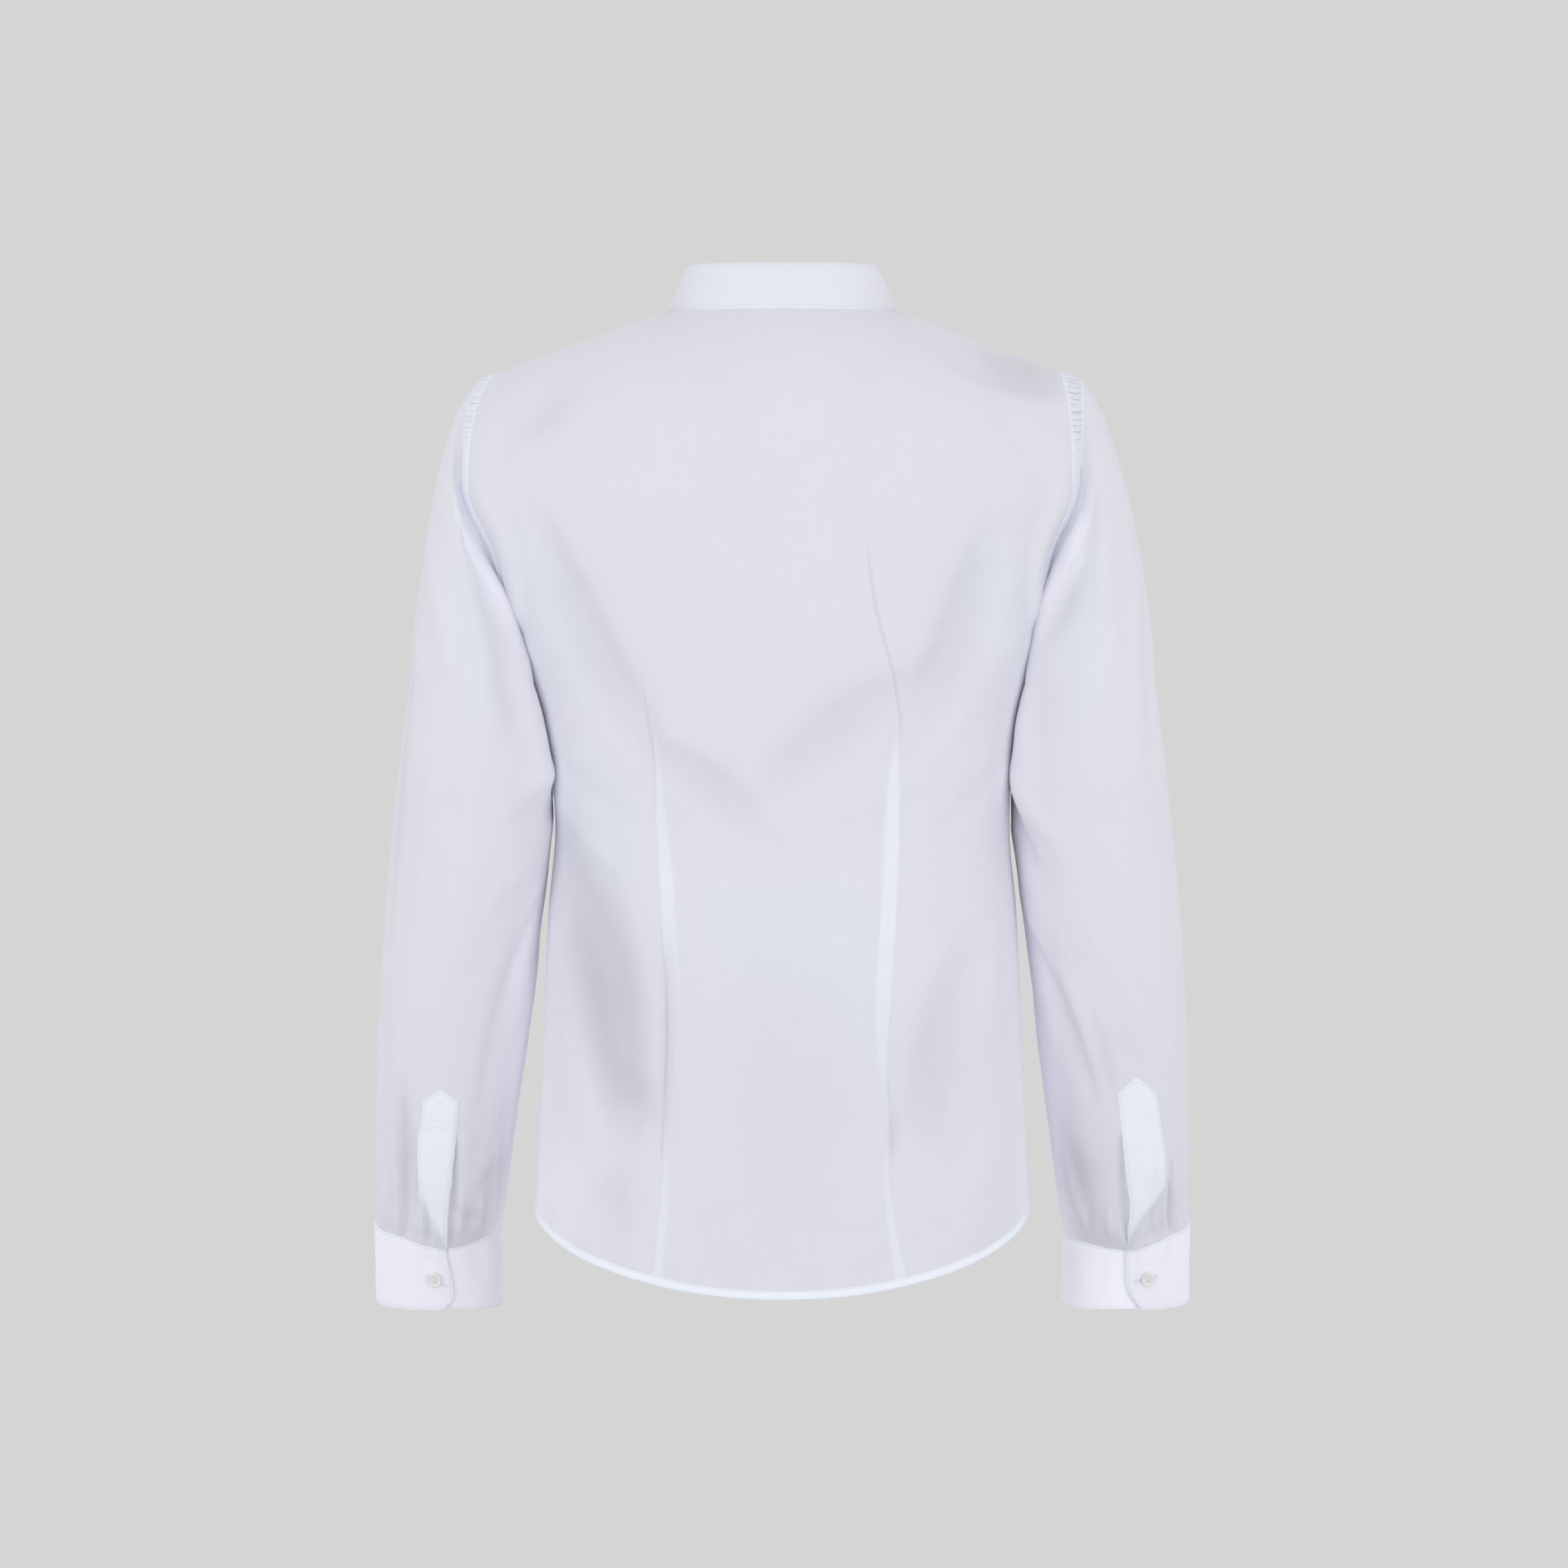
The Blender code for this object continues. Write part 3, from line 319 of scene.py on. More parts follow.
def drawn_to_darts(face, levels, across, names):
    """Shift the columns of every row so that one of them runs along each dart's line."""
    moved = across.copy()
    for name in names:
        share = DART_ROW_SHARE[name]
        home = across[:, np.argmin(np.abs(across[-1] - share))]
        fine = np.sign(share) * np.linspace(0.0, 1.0, 101)
        rows = panel_sheet(face, levels, fine + 0.0 * levels[:, None], fine)
        off = (rows[..., 0] - column(DARTS[name], DART_COLUMNS, "line", rows[..., 2])) * np.sign(share)
        found = np.array([np.interp(0.0, row, fine) for row in off])
        found_height = np.array([np.interp(0.0, row, z) for row, z in zip(off, rows[..., 2])])
        top = max(row[0] for row in DARTS[name])
        shift = (found - home) * smooth((top + 0.045 - found_height) / 0.045)
        moved += shift[:, None] * (1.0 - smooth(np.abs(across - home[:, None]) / 0.30))
    return moved


def grain_places(points, centre_column, level_row):
    """Where each point lies on the flat cloth: metres across from one column and up from one row."""
    across = np.array([travelled(row) for row in points])
    up = np.array([travelled(points[:, c]) for c in range(points.shape[1])]).T
    return np.stack([across - across[:, centre_column:centre_column + 1], up - up[level_row]], axis=-1)


def panel_form(face, levels, across, top, creases, dart_names, seed, edge_columns):
    """A panel's sheet with its creases, darts and unevenness, calm along its seams and turned in there."""
    points = panel_sheet(face, levels, across, top)
    facing = np.array([0.0, FACING[face], 0.0])
    normals = surface_normals(points, facing)
    place = points[..., [0, 2]]
    calm = (1.0 - ramp(np.abs(across), 0.86, 0.13)) * ramp(levels[:, None], 3.0, -0.22)
    free = 1.0 - ramp(np.abs(across), 0.90, 0.10)
    height = (FOLD_GAIN * crease_heights(creases, place) + drift(place, seed, *UNEVEN)) * calm
    doubled = np.zeros(points.shape[:2])
    for name in dart_names:
        shape, pale = dart_shape(name, place)
        height += shape * free
        doubled += pale
    for edge in edge_columns:
        away = np.linalg.norm(points - points[:, edge][:, None], axis=-1)
        height -= 0.0002 * hump(away / 0.0010) * ramp(levels[:, None], 1.0, 0.2)
    points = points + normals * height[..., None]
    return points, surface_normals(points, facing), doubled


def added(name, data):
    """A new object in the scene, lying at its origin."""
    item = bpy.data.objects.new(name, data)
    bpy.context.scene.collection.objects.link(item)
    return item


def riding(item, stands_for=None):
    """A piece that rides on the blouse's one body, in place of its solid if it has one."""
    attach(item, "root")
    if stands_for:
        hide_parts(stands_for)
    return item


def cloth_shell(name, finish, points, normals, thickness, grain, doubled, cast=0.0, painted_shading=0.0, around=False):
    """A thin shell of cloth: its outer sheet, its inner one, and the edges between them."""
    rows, columns = points.shape[:2]
    wide = columns + 1 if around else columns
    place = np.arange(rows * wide).reshape(rows, wide)
    vertex = (place // wide) * columns + (place % wide) % columns
    a, b, c, d = place[:-1, :-1], place[:-1, 1:], place[1:, 1:], place[1:, :-1]
    total = rows * wide
    parts = [np.stack([a, b, c, d], -1), np.stack([a, d, c, b], -1) + total]
    edges = [(b[0], a[0]), (d[-1], c[-1])]
    if not around:
        edges += [(c[:, -1], b[:, -1]), (a[:, 0], d[:, 0])]
    parts += [np.stack([p, q, q + total, p + total], -1) for p, q in edges]
    corners = np.concatenate([part.reshape(-1, 4) for part in parts])
    if np.dot(np.cross(points[0, 1] - points[1, 0], points[1, 1] - points[0, 0]), normals[0, 0]) < 0.0:
        corners = corners[:, ::-1]
    wall = normals * (thickness + np.zeros((rows, columns)))[..., None]
    skins = np.concatenate([points.reshape(-1, 3), (points - wall).reshape(-1, 3)])
    faces = vertex.reshape(-1)[corners % total] + (corners // total) * (rows * columns)
    mesh = bpy.data.meshes.new(name)
    mesh.from_pydata(skins.tolist(), [], faces.tolist())
    if around:
        grain = np.concatenate([grain, 2.0 * grain[:, -1:] - grain[:, -2:-1]], axis=1)
    uv = mesh.uv_layers.new(name="cloth")
    uv.data.foreach_set("uv", grain.reshape(-1, 2)[(corners % total).reshape(-1)].reshape(-1))
    for title, value in (("doubled", doubled), ("cast", cast), ("painted_shading", painted_shading)):
        layer = mesh.attributes.new(title, "FLOAT", "POINT")
        sheet = (np.zeros((rows, columns)) + value).reshape(-1)
        layer.data.foreach_set("value", np.concatenate([sheet, sheet]).astype(np.float32))
    mesh.shade_smooth()
    mesh.set_sharp_from_angle(angle=math.radians(60.0))
    mesh.materials.append(finish)
    return added(name, mesh)


class Wire:
    """One output of a node, so that sums on it can be written as they are read."""

    def __init__(self, net, socket):
        self.net, self.socket = net, socket

    def maths(self, operation, *values):
        return self.net.node("ShaderNodeMath", {"operation": operation}, dict(enumerate(values)))

    def __add__(self, other):
        return self.maths("ADD", self, other)

    def __sub__(self, other):
        return self.maths("SUBTRACT", self, other)

    def __mul__(self, other):
        return self.maths("MULTIPLY", self, other)


class Net:
    """A tree of nodes for a material, for what repeats or for the surround, built up node by node."""

    def __init__(self, tree):
        self.tree = tree

    def node(self, kind, settings=None, sockets=None, output=0):
        made = self.tree.nodes.new(kind)
        for key, value in (settings or {}).items():
            setattr(made, key, value)
        for key, value in (sockets or {}).items():
            if isinstance(value, Wire):
                self.tree.links.new(value.socket, made.inputs[key])
            else:
                made.inputs[key].default_value = value
        return Wire(self, made.outputs[output]) if made.outputs else None


class Finish(Net):
    """A material of this blouse."""

    def __init__(self, name, **plain):
        self.material = bpy.data.materials.new(name)
        self.material.use_nodes = True
        super().__init__(self.material.node_tree)
        self.shader = self.tree.nodes["Principled BSDF"]
        for key, value in plain.items():
            self.shader.inputs[key.replace("_", " ")].default_value = value

    def feed(self, key, wire):
        self.tree.links.new(wire.socket, self.shader.inputs[key])

    def mixed(self, factor, first, second):
        """One colour turning into another."""
        return self.node("ShaderNodeMix", {"data_type": "RGBA"}, {0: factor, 6: first, 7: second}, output=2)


SINGLE = (0.740, 0.736, 0.804, 1.0)
# The single cloth's colour tinted cooler, as painted cool light
SINGLE_PAINTED_COOL = (0.728, 0.757, 0.824, 1.0)
DOUBLED = (0.850, 0.895, 0.975, 1.0)
THREAD_PITCH = 0.00036
# How far painted shade darkens the colour at an amount of 1; a negative amount is painted light
PAINTED_SHADING_DEPTH = 0.20


def cotton(name, slub_strength=1.0, pressed=DOUBLED):
    """Plain weave cotton: warp and weft slubs, a fine grid of threads, paler where the cloth is doubled, with
    painted cool light, painted shade and painted light in its colour.
    """
    finish = Finish(name, Roughness=0.82, Specular_IOR_Level=0.25, Sheen_Weight=0.04, Sheen_Roughness=0.5)
    place = finish.node("ShaderNodeUVMap", {"uv_map": "cloth"})
    flat_noise = ("ShaderNodeTexNoise", {"noise_dimensions": "2D"})

    def threads(across, up, detail):
        stretched = finish.node("ShaderNodeVectorMath", {"operation": "MULTIPLY"},
                                {0: place, 1: (across, up, 1.0)})
        return finish.node(*flat_noise, {"Vector": stretched, "Scale": 1.0, "Detail": detail})

    def painted(title):
        return finish.node("ShaderNodeAttribute", {"attribute_name": title}, output=2)

    warp_slub = threads(900.0, 34.0, 2.0)
    weft_slub = threads(34.0, 900.0, 2.0)
    warp_fine = threads(2300.0, 160.0, 1.0)
    cloud = finish.node(*flat_noise, {"Vector": place, "Scale": 16.0, "Detail": 3.0})
    turn = 2.0 * math.pi / THREAD_PITCH
    across = finish.node("ShaderNodeSeparateXYZ", {}, {0: place}) * turn
    up = finish.node("ShaderNodeSeparateXYZ", {}, {0: place}, output=1) * turn
    weave = across.maths("SINE", across) * up.maths("SINE", up)
    # Painted cool light tints the single cloth; painted shade darkens the colour where its amount is
    # positive, and painted light lightens it where the amount is negative
    colour = finish.mixed(painted("doubled"), finish.mixed(painted("cast"), SINGLE, SINGLE_PAINTED_COOL), pressed)
    slubs = (warp_slub - 0.5) * 0.045 + (weft_slub - 0.5) * 0.030 + (warp_fine - 0.5) * 0.020
    tone = slubs * slub_strength + (cloud - 0.5) * 0.020 + 1.0 - painted("painted_shading") * PAINTED_SHADING_DEPTH
    finish.feed("Base Color", finish.node("ShaderNodeVectorMath", {"operation": "SCALE"},
                                          {0: colour, "Scale": tone}))
    finish.feed("Roughness", warp_slub * 0.10 + 0.76)
    relief = weave * 0.35 + warp_slub * 0.9 + weft_slub * 0.6
    finish.feed("Normal", finish.node("ShaderNodeBump", {}, {"Strength": 0.35, "Distance": 0.00010,
                                                             "Height": relief}))
    return finish.material


cotton_single = cotton("cotton_single")
levels = np.concatenate([np.linspace(0.0, 1.0, UPRIGHT_ROWS + 1)[:-1],
                         np.linspace(1.0, 2.0, ARM_ROWS + 1)[:-1], np.linspace(2.0, 3.0, ROLL_ROWS)])
left_columns, right_columns = (
    spread(0.0, 1.0, HALF_COLUMNS + 1, [(abs(dart), 5.0, 0.012), (abs(dart), 1.6, 0.05), (1.0, 1.0, 0.04)])
    for dart in DART_ROW_SHARE.values())
across = np.concatenate([-right_columns[:0:-1], left_columns]) + 0.0 * levels[:, None]
across = drawn_to_darts("back", levels, across, ("back_left", "back_right"))
back_points, back_normals, doubled = panel_form(
    "back", levels, across, across[-1], BACK_CREASES, ("back_left", "back_right"), 11, (0, -1))
place, height = back_points[..., [0, 2]], back_points[..., 2]
# Painted shading on the back: the table's painted shade, less painted light at the sides and more by the
# armpits
beside = ramp(np.abs(across), *LIGHT_ACROSS) * ramp(height, *LIGHT_BELOW)
armpit = ramp(height, *ARMPIT_ABOVE)
painted_shading = crease_heights(BACK_PAINTED_SHADING, place) - beside * (SIDE_LIGHT + (ARMPIT_LIGHT - SIDE_LIGHT) * armpit)
back = cloth_shell("back_cloth", cotton_single, back_points, back_normals, CLOTH,
                   grain_places(back_points, HALF_COLUMNS, UPRIGHT_ROWS), doubled,
                   np.clip(crease_heights(BACK_PAINTED_COOL_LIGHT, place), 0.0, 1.0), painted_shading)
riding(back, "back")


# ------------------------------------------------------------------------------------------------
# Fronts
# A left and a right panel of the same cotton, each with one waist dart.  The right front laps over the left
# along a folded button stand, which is stitched down both its edges with white thread.

STAND_HALF = 0.0125
STAND_STITCH = 0.0112
STAND_THICKNESS = 0.0012
LAP_STEP = 0.0018
LAP_REACH = ((0.0, 0.105, 0.21), (1.0, 0.45, 0.0))
LAP_NECK_SHARE = 0.55
# Levels at which the lap begins to sink to the neck seam, and to be raised level, and over how much of one
LAP_SINKS = (2.6, 0.4)
LAP_LEVELS = (2.857, 0.143)
# Painted shade in the fronts' crease troughs: how much at full depth, and the trough depth counted as full
PAINTED_SHADE_IN_FOLDS, FOLD_DEPTH = 0.35, 0.005
STITCH_PITCH, STITCH_LENGTH, THREAD_RADIUS = 0.0025, 0.0019, 0.00018

DARTS["front_left"] = metres(2,
    (-420, 88, 2, 0, 1), (-395, 89.6, 7, 0.45, 1), (-345, 93, 10, 0.75, 1), (-290, 97.2, 9, 0.65, 1),
    (-245, 101.2, 5, 0.3, 1), (-190, 105, 2, 0, 1))
DARTS["front_right"] = tuple((z, -line, *rest) for z, line, *rest in DARTS["front_left"])
DART_ROW_SHARE.update(front_left=0.41, front_right=-0.41)

FRONT_CREASES = metres(1,
    (162, -150, 104, -252, 5, 18, -6.6, 0.3), (176, -165, 130, -282, 4, 16, 4, 0),
    (62, -140, 96, -188, -3, 14, -1.8, 0), (150, -300, 102, -350, 3, 9, -1.8, 0),
    (148, -328, 112, -374, 3, 8, 1.2, 0), (30, -318, 82, -352, 3, 12, -3.4, 0.2),
    (28, -346, 78, -386, 3, 13, 1.6, 0), (150, -382, 116, -545, -8, 20, -7, -0.3),
    (128, -400, 98, -510, -4, 15, 2.2, 0), (66, -430, 58, -610, 4, 16, 1.5, 0),
    (104, -470, 94, -600, -2, 12, -1.2, 0), (44, -100, 30, -190, 2, 10, -1, 0),
    (146, -90, 180, -120, 2, 10, -1.2, 0))
# The right front's creases are the left's, a little lower and not as deep
FRONT_SIDES = {"left": (1.0, 23, FRONT_CREASES),
               "right": (-1.0, 31, [(-x0, z0 - 0.007, -x1, z1 - 0.007, -bow, half_width, height * 0.85, -skew)
                                    for x0, z0, x1, z1, bow, half_width, height, skew in FRONT_CREASES])}


def front_columns(share, stand, outer):
    """Columns of a left front: the stand either side of the centre line, then out to the side."""
    beyond = np.where(outer < NECK_SHARE, share + (NECK_SHARE - share) * outer / NECK_SHARE, outer)
    return np.concatenate([share * stand, beyond], axis=-1)


def geometry_net(name, sizes):
    """An empty geometry tree with named inputs, and the sockets that bring them in."""
    tree = bpy.data.node_groups.new(name, "GeometryNodeTree")
    for title in ("Geometry", *sizes):
        kind = "NodeSocketGeometry" if title == "Geometry" else "NodeSocketFloat"
        tree.interface.new_socket(title, in_out="INPUT", socket_type=kind)
    tree.interface.new_socket("Geometry", in_out="OUTPUT", socket_type="NodeSocketGeometry")
    net = Net(tree)
    given = net.node("NodeGroupInput")
    return net, {socket.name: Wire(net, socket) for socket in given.socket.node.outputs if socket.name}


def laid_out(net, geometry, material):
    """The end of a geometry tree: real meshes, in their material."""
    real = net.node("GeometryNodeRealizeInstances", {}, {"Geometry": geometry})
    dressed = net.node("GeometryNodeSetMaterial", {}, {"Geometry": real, "Material": material})
    net.node("NodeGroupOutput", {}, {"Geometry": dressed})
    return net.tree


def stitch_tree(material):
    """Short lengths of thread, one after another along each line."""
    net, given = geometry_net("row_of_stitches", ("Pitch", "Stitch Length", "Thread Radius"))
    line = net.node("GeometryNodeMeshToCurve", {}, {"Mesh": given["Geometry"]})
    even = net.node("GeometryNodeResampleCurve", {"mode": "LENGTH"},
                    {"Curve": line, "Length": given["Pitch"]})
    turned = net.node("FunctionNodeAlignRotationToVector", {"axis": "Z"},
                      {"Vector": net.node("GeometryNodeInputTangent")})
    size = net.node("ShaderNodeCombineXYZ", {}, {"X": given["Thread Radius"], "Y": given["Thread Radius"],
                                                 "Z": given["Stitch Length"] * 0.5})
    bead = net.node("GeometryNodeMeshUVSphere", {}, {"Segments": 6, "Rings": 4, "Radius": 1.0})
    bead = net.node("GeometryNodeSetShadeSmooth", {}, {"Geometry": bead})
    placed = net.node("GeometryNodeInstanceOnPoints", {},
                      {"Points": even, "Instance": bead, "Rotation": turned, "Scale": size})
    return laid_out(net, placed, material)


def sewn(name, tree, lines, slot="doubled_cotton", **sizes):
    """What a geometry tree lays along open lines of points, as one plain mesh."""
    mesh = bpy.data.meshes.new(name)
    places, pairs = [], []
    for line in lines:
        first = len(places)
        places += line.tolist()
        pairs += [(first + i, first + i + 1) for i in range(len(line) - 1)]
    mesh.from_pydata(places, pairs, [])
    item = added(name, mesh)
    modifier = item.modifiers.new(name, "NODES")
    modifier.node_group = tree
    for socket in tree.interface.items_tree:
        if socket.name.replace(" ", "_").lower() in sizes:
            modifier[socket.identifier] = sizes[socket.name.replace(" ", "_").lower()]
    item.data = bpy.data.meshes.new_from_object(item.evaluated_get(bpy.context.evaluated_depsgraph_get()))
    item.modifiers.clear()
    return riding(item)


def stitched(name, lines):
    return sewn(name, stitches, lines, pitch=STITCH_PITCH, stitch_length=STITCH_LENGTH,
                thread_radius=THREAD_RADIUS)


def thread_finish():
    """White cotton thread, its ply showing as fine slanted bands."""
    finish = Finish("white_thread", Roughness=0.6, Specular_IOR_Level=0.35)
    place = finish.node("ShaderNodeTexCoord", output=3)
    ply = finish.node("ShaderNodeTexWave", {"bands_direction": "DIAGONAL"},
                      {"Vector": place, "Scale": 1400.0, "Distortion": 1.0}, output=1)
    finish.feed("Base Color", finish.mixed(ply, (0.72, 0.75, 0.83, 1.0), (0.86, 0.90, 0.97, 1.0)))
    finish.feed("Normal", finish.node("ShaderNodeBump", {},
                                      {"Strength": 0.4, "Distance": 0.00005, "Height": ply}))
    return finish.material


white_thread = thread_finish()
stitches = stitch_tree(white_thread)
stand_columns = np.linspace(-1.0, 1.0, 15)[:-1]
outer_columns = spread(0.0, 1.0, 90, [(0.41, 4.0, 0.014), (0.41, 1.4, 0.05), (1.0, 1.0, 0.04),
                                      (0.0, 2.0, 0.01)])
lap = np.concatenate([np.ones(len(stand_columns)), np.interp(outer_columns, *LAP_REACH)])
centre_line = len(stand_columns) // 2
low = HEM_SIDE - TAIL["front"]
height = np.where(levels < 1.0, low + (UNDERARM - low) * levels,
                  UNDERARM + (ROLL_START["front"][0] - UNDERARM) * np.clip(levels - 1.0, 0.0, 1.0))
sweep = np.radians(body("sweep", height))
share = (np.arcsin(STAND_HALF * np.sin(sweep) / body("half_width", height)) / sweep)[:, None]
neck_share = NECK_SHARE * math.asin(STAND_HALF / NECK_HALF_WIDTH) / (math.pi / 2.0)
fronts, front_panels = {}, {}
for title, (side, seed, creases) in FRONT_SIDES.items():
    name = "front_" + title
    top = side * front_columns(neck_share, stand_columns, outer_columns)
    across = side * front_columns(share, stand_columns, outer_columns + 0.0 * share)
    across = drawn_to_darts("front", levels, across, (name,))
    points, normals, doubled = panel_form("front", levels, across, top, creases, (name,), seed, (-1,))
    from_centre = np.array([travelled(row) for row in points])
    from_centre = np.abs(from_centre - from_centre[:, centre_line:centre_line + 1])
    stand = 1.0 - ramp(from_centre, STAND_HALF, 0.0008)
    thickness = CLOTH + 0.0 * stand
    if side < 0.0:
        high = ramp(levels[:, None], *LAP_SINKS)
        lift = LAP_STEP * (1.0 - (1.0 - LAP_NECK_SHARE) * high) * lap
        turn = ramp(levels[:, None, None], *LAP_LEVELS)
        step = unit(normals * (1.0 - turn) + unit(normals * np.array([1.0, 1.0, 0.0])) * turn)
        groove = 0.0004 * hump((from_centre - STAND_HALF - 0.0004) / 0.0007)
        points = points + step * lift[..., None] - normals * groove[..., None]
        normals = surface_normals(points, np.array([0.0, -1.0, 0.0]))
        thickness = CLOTH + (STAND_THICKNESS - CLOTH) * stand * (1.0 - 0.8 * high)
    # Painted shade darkens the colour in the troughs of the creases
    in_folds = np.clip(-crease_heights(creases, points[..., [0, 2]]) / FOLD_DEPTH, 0.0, 1.0)
    front = cloth_shell(name + "_cloth", cotton_single, points, normals, thickness,
                        grain_places(points, centre_line, UPRIGHT_ROWS),
                        np.maximum(doubled, 0.9 * stand), 0.0, PAINTED_SHADE_IN_FOLDS * in_folds)
    fronts[title], front_panels[title] = (points, normals), riding(front, name)

points, normals = fronts["right"]
from_centre = np.array([travelled(row) for row in points])
from_centre = from_centre - from_centre[:, centre_line:centre_line + 1]
rows = points + normals * THREAD_RADIUS * 0.5
stitched("button_stand_stitches", [
    np.array([along_axes(reach, at, row) for at, row in zip(from_centre[2:-1], rows[2:-1])])
    for reach in (-STAND_STITCH, STAND_STITCH)])


# ------------------------------------------------------------------------------------------------
# Hems
# The raw edge of each panel is turned up twice, 5 mm wide, and stitched near its upper edge.  The three
# layers show as a paler band, slightly puckered because the hem is curved, most of all towards the sides.

# Reach up from the edge and height over the panel
HEM_PROFILE = metres(0,
    (-0.4, -0.2), (0, 0.35), (0.7, 0.5), (1.6, 0.52), (2.6, 0.48), (3.6, 0.42), (4.3, 0.14), (4.8, 0.34),
    (5.2, -0.1))
HEM_STITCH_LINE = 6
HEM_WIDTH = 0.0050
HEM_WALL = 0.0012
HEM_PUCKER = 0.00013
HEM_INSIDE_ROW = 60
BAND_PITCH = 0.0011


def sheet_tree(points):
    """A search tree over a sheet of points."""
    rows, columns = points.shape[:2]
    place = np.arange(rows * columns).reshape(rows, columns)
    corners = np.stack([place[:-1, :-1], place[:-1, 1:], place[1:, 1:], place[1:, :-1]], -1).reshape(-1, 4)
    return BVHTree.FromPolygons(points.reshape(-1, 3).tolist(), corners.tolist())


def laid_on(tree, points, like):
    """The nearest places on a sheet, and which way it faces there, on the side given by the last value."""
    found = np.array([(*place, *normal) for place, normal, _, _ in
                      (tree.find_nearest(point) for point in points.reshape(-1, 3).tolist())])
    places, normals = (part.reshape(points.shape) for part in (found[:, :3], found[:, 3:]))
    return places, normals * np.sign(np.sum(normals * like, axis=-1, keepdims=True))


def evenly(line, pitch):
    """The same line of points, resampled at an even pitch."""
    at = travelled(line)
    return along_axes(np.linspace(0.0, at[-1], max(2, round(at[-1] / pitch) + 1)), at, line)


def evened(values, reach):
    """A running mean along the first axis."""
    padded = np.concatenate([values[:1]] * reach + [values] + [values[-1:]] * reach)
    total = np.cumsum(np.concatenate([np.zeros_like(padded[:1]), padded]), axis=0)
    return (total[2 * reach + 1:] - total[:-2 * reach - 1]) / (2 * reach + 1)


def edge_band(sheet, outside, edge, inside, reaches, pitch=BAND_PITCH):
    """Lines laid on a sheet beside its edge, one at each reach from it, and the way out of the cloth."""
    tree = sheet_tree(sheet)
    line = evenly(edge, pitch)
    normals = unit(evened(laid_on(tree, line, outside)[1], 3))
    inwards = unit(np.cross(normals, unit(evened(np.gradient(line, axis=0), 2))))
    middle = len(line) // 2
    if np.dot(inwards[middle], inside - line[middle]) < 0.0:
        inwards = -inwards
    band = []
    for reach in reaches:
        away = line + inwards * reach
        band.append(evened(laid_on(tree, away, outside)[0], 1) if reach > 0.0 else away)
    return np.array(band), np.repeat(normals[None], len(reaches), axis=0)


def waves(at, seed, shortest, longest):
    """Uneven ripples along a seam, between -1 and 1 for most of their way."""
    random = np.random.default_rng(seed)
    total = np.zeros_like(at)
    for _ in range(7):
        length = random.uniform(shortest, longest)
        total += np.sin(2.0 * math.pi * at / length + random.uniform(0.0, 6.28)) / 2.6
    return total


def band_grain(band):
    """Places on the flat cloth for a band: along it, and across it."""
    along = travelled(band[len(band) // 2])
    across = np.concatenate([[0.0], np.cumsum(np.linalg.norm(np.diff(band, axis=0), axis=-1).mean(axis=1))])
    return np.stack(np.broadcast_arrays(along[None, :], across[:, None]), axis=-1)


hems, hem_lines = {}, []
for title, sheet, facing, seed in (("back", back_points, 1.0, 3), ("front_left", fronts["left"][0], -1.0, 5),
                                   ("front_right", fronts["right"][0], -1.0, 8)):
    reaches, lifts = np.array(HEM_PROFILE).T
    band, normals = edge_band(sheet, np.array([0.0, facing, 0.0]), sheet[0],
                              sheet[HEM_INSIDE_ROW, sheet.shape[1] // 2], reaches)
    slack = HEM_PUCKER * (1.0 + ramp(np.abs(band[0][:, 0]), 0.070, 0.040))
    between = smooth(reaches / 0.003) * smooth((HEM_WIDTH + 0.0002 - reaches) / 0.0012)
    pucker = slack * waves(travelled(band[0]), seed, 0.0035, 0.0090)[None, :] * between[:, None]
    points = band + normals * (lifts[:, None] + pucker)[..., None]
    hem = cloth_shell(title + "_hem", cotton_single, points, surface_normals(points, normals), HEM_WALL,
                      band_grain(band), 1.0)
    hems[title] = riding(hem)
    hem_lines.append((points[HEM_STITCH_LINE] + normals[HEM_STITCH_LINE] * 0.0001)[2:-2])
stitched("hem_stitches", hem_lines)


# ------------------------------------------------------------------------------------------------
# Collar
# A stand collar of two layers with a lining between them, sewn to the neck edge and stitched all round.  It
# leans in towards the neck, and its ends are rounded where they meet at centre front.

COLLAR_HEIGHT = 0.034
COLLAR_LEAN = 0.42
COLLAR_CORNER = 0.014
COLLAR_END_GAP = 0.0012
COLLAR_WALL = 0.0013
COLLAR_BELLY = 0.0010
COLLAR_STITCH = 0.0016
COLLAR_CENTRE = (0.0, -0.004, 0.0)
# How pale the collar is at the back, how much painted shade dulls it at its sides, and from where over what
# distance
COLLAR_PALE, COLLAR_SIDE_SHADE, COLLAR_SIDE_SHADE_SPAN = 0.44, 0.40, (0.045, 0.028)
COLLAR_SHARES = np.array([-0.035, 0.0, 0.02, 0.05, 0.075, 0.15, 0.3, 0.45, 0.6, 0.75, 0.86, 0.92, 0.95, 0.975,
                          1.0])
COLLAR_LIFTS = np.array([-4, 4, 6, 4.5, 6, 6, 6, 6, 6, 6, 6, 5, 3, 2, -3]) / 10000.0
THREAD_SINK = 0.0001


def neck_loop(count):
    """The neck seam from the left end at centre front, round the back, to the right end."""
    first = NECK_SHARE * math.asin(COLLAR_END_GAP / NECK_HALF_WIDTH) / (math.pi / 2.0)
    front = top_point("front", np.linspace(first, NECK_SHARE, count))
    around_back = top_point("back", np.linspace(NECK_SHARE, -NECK_SHARE, 2 * count))
    return np.concatenate([front, around_back[1:-1], (front * np.array([-1.0, 1.0, 1.0]))[::-1]])


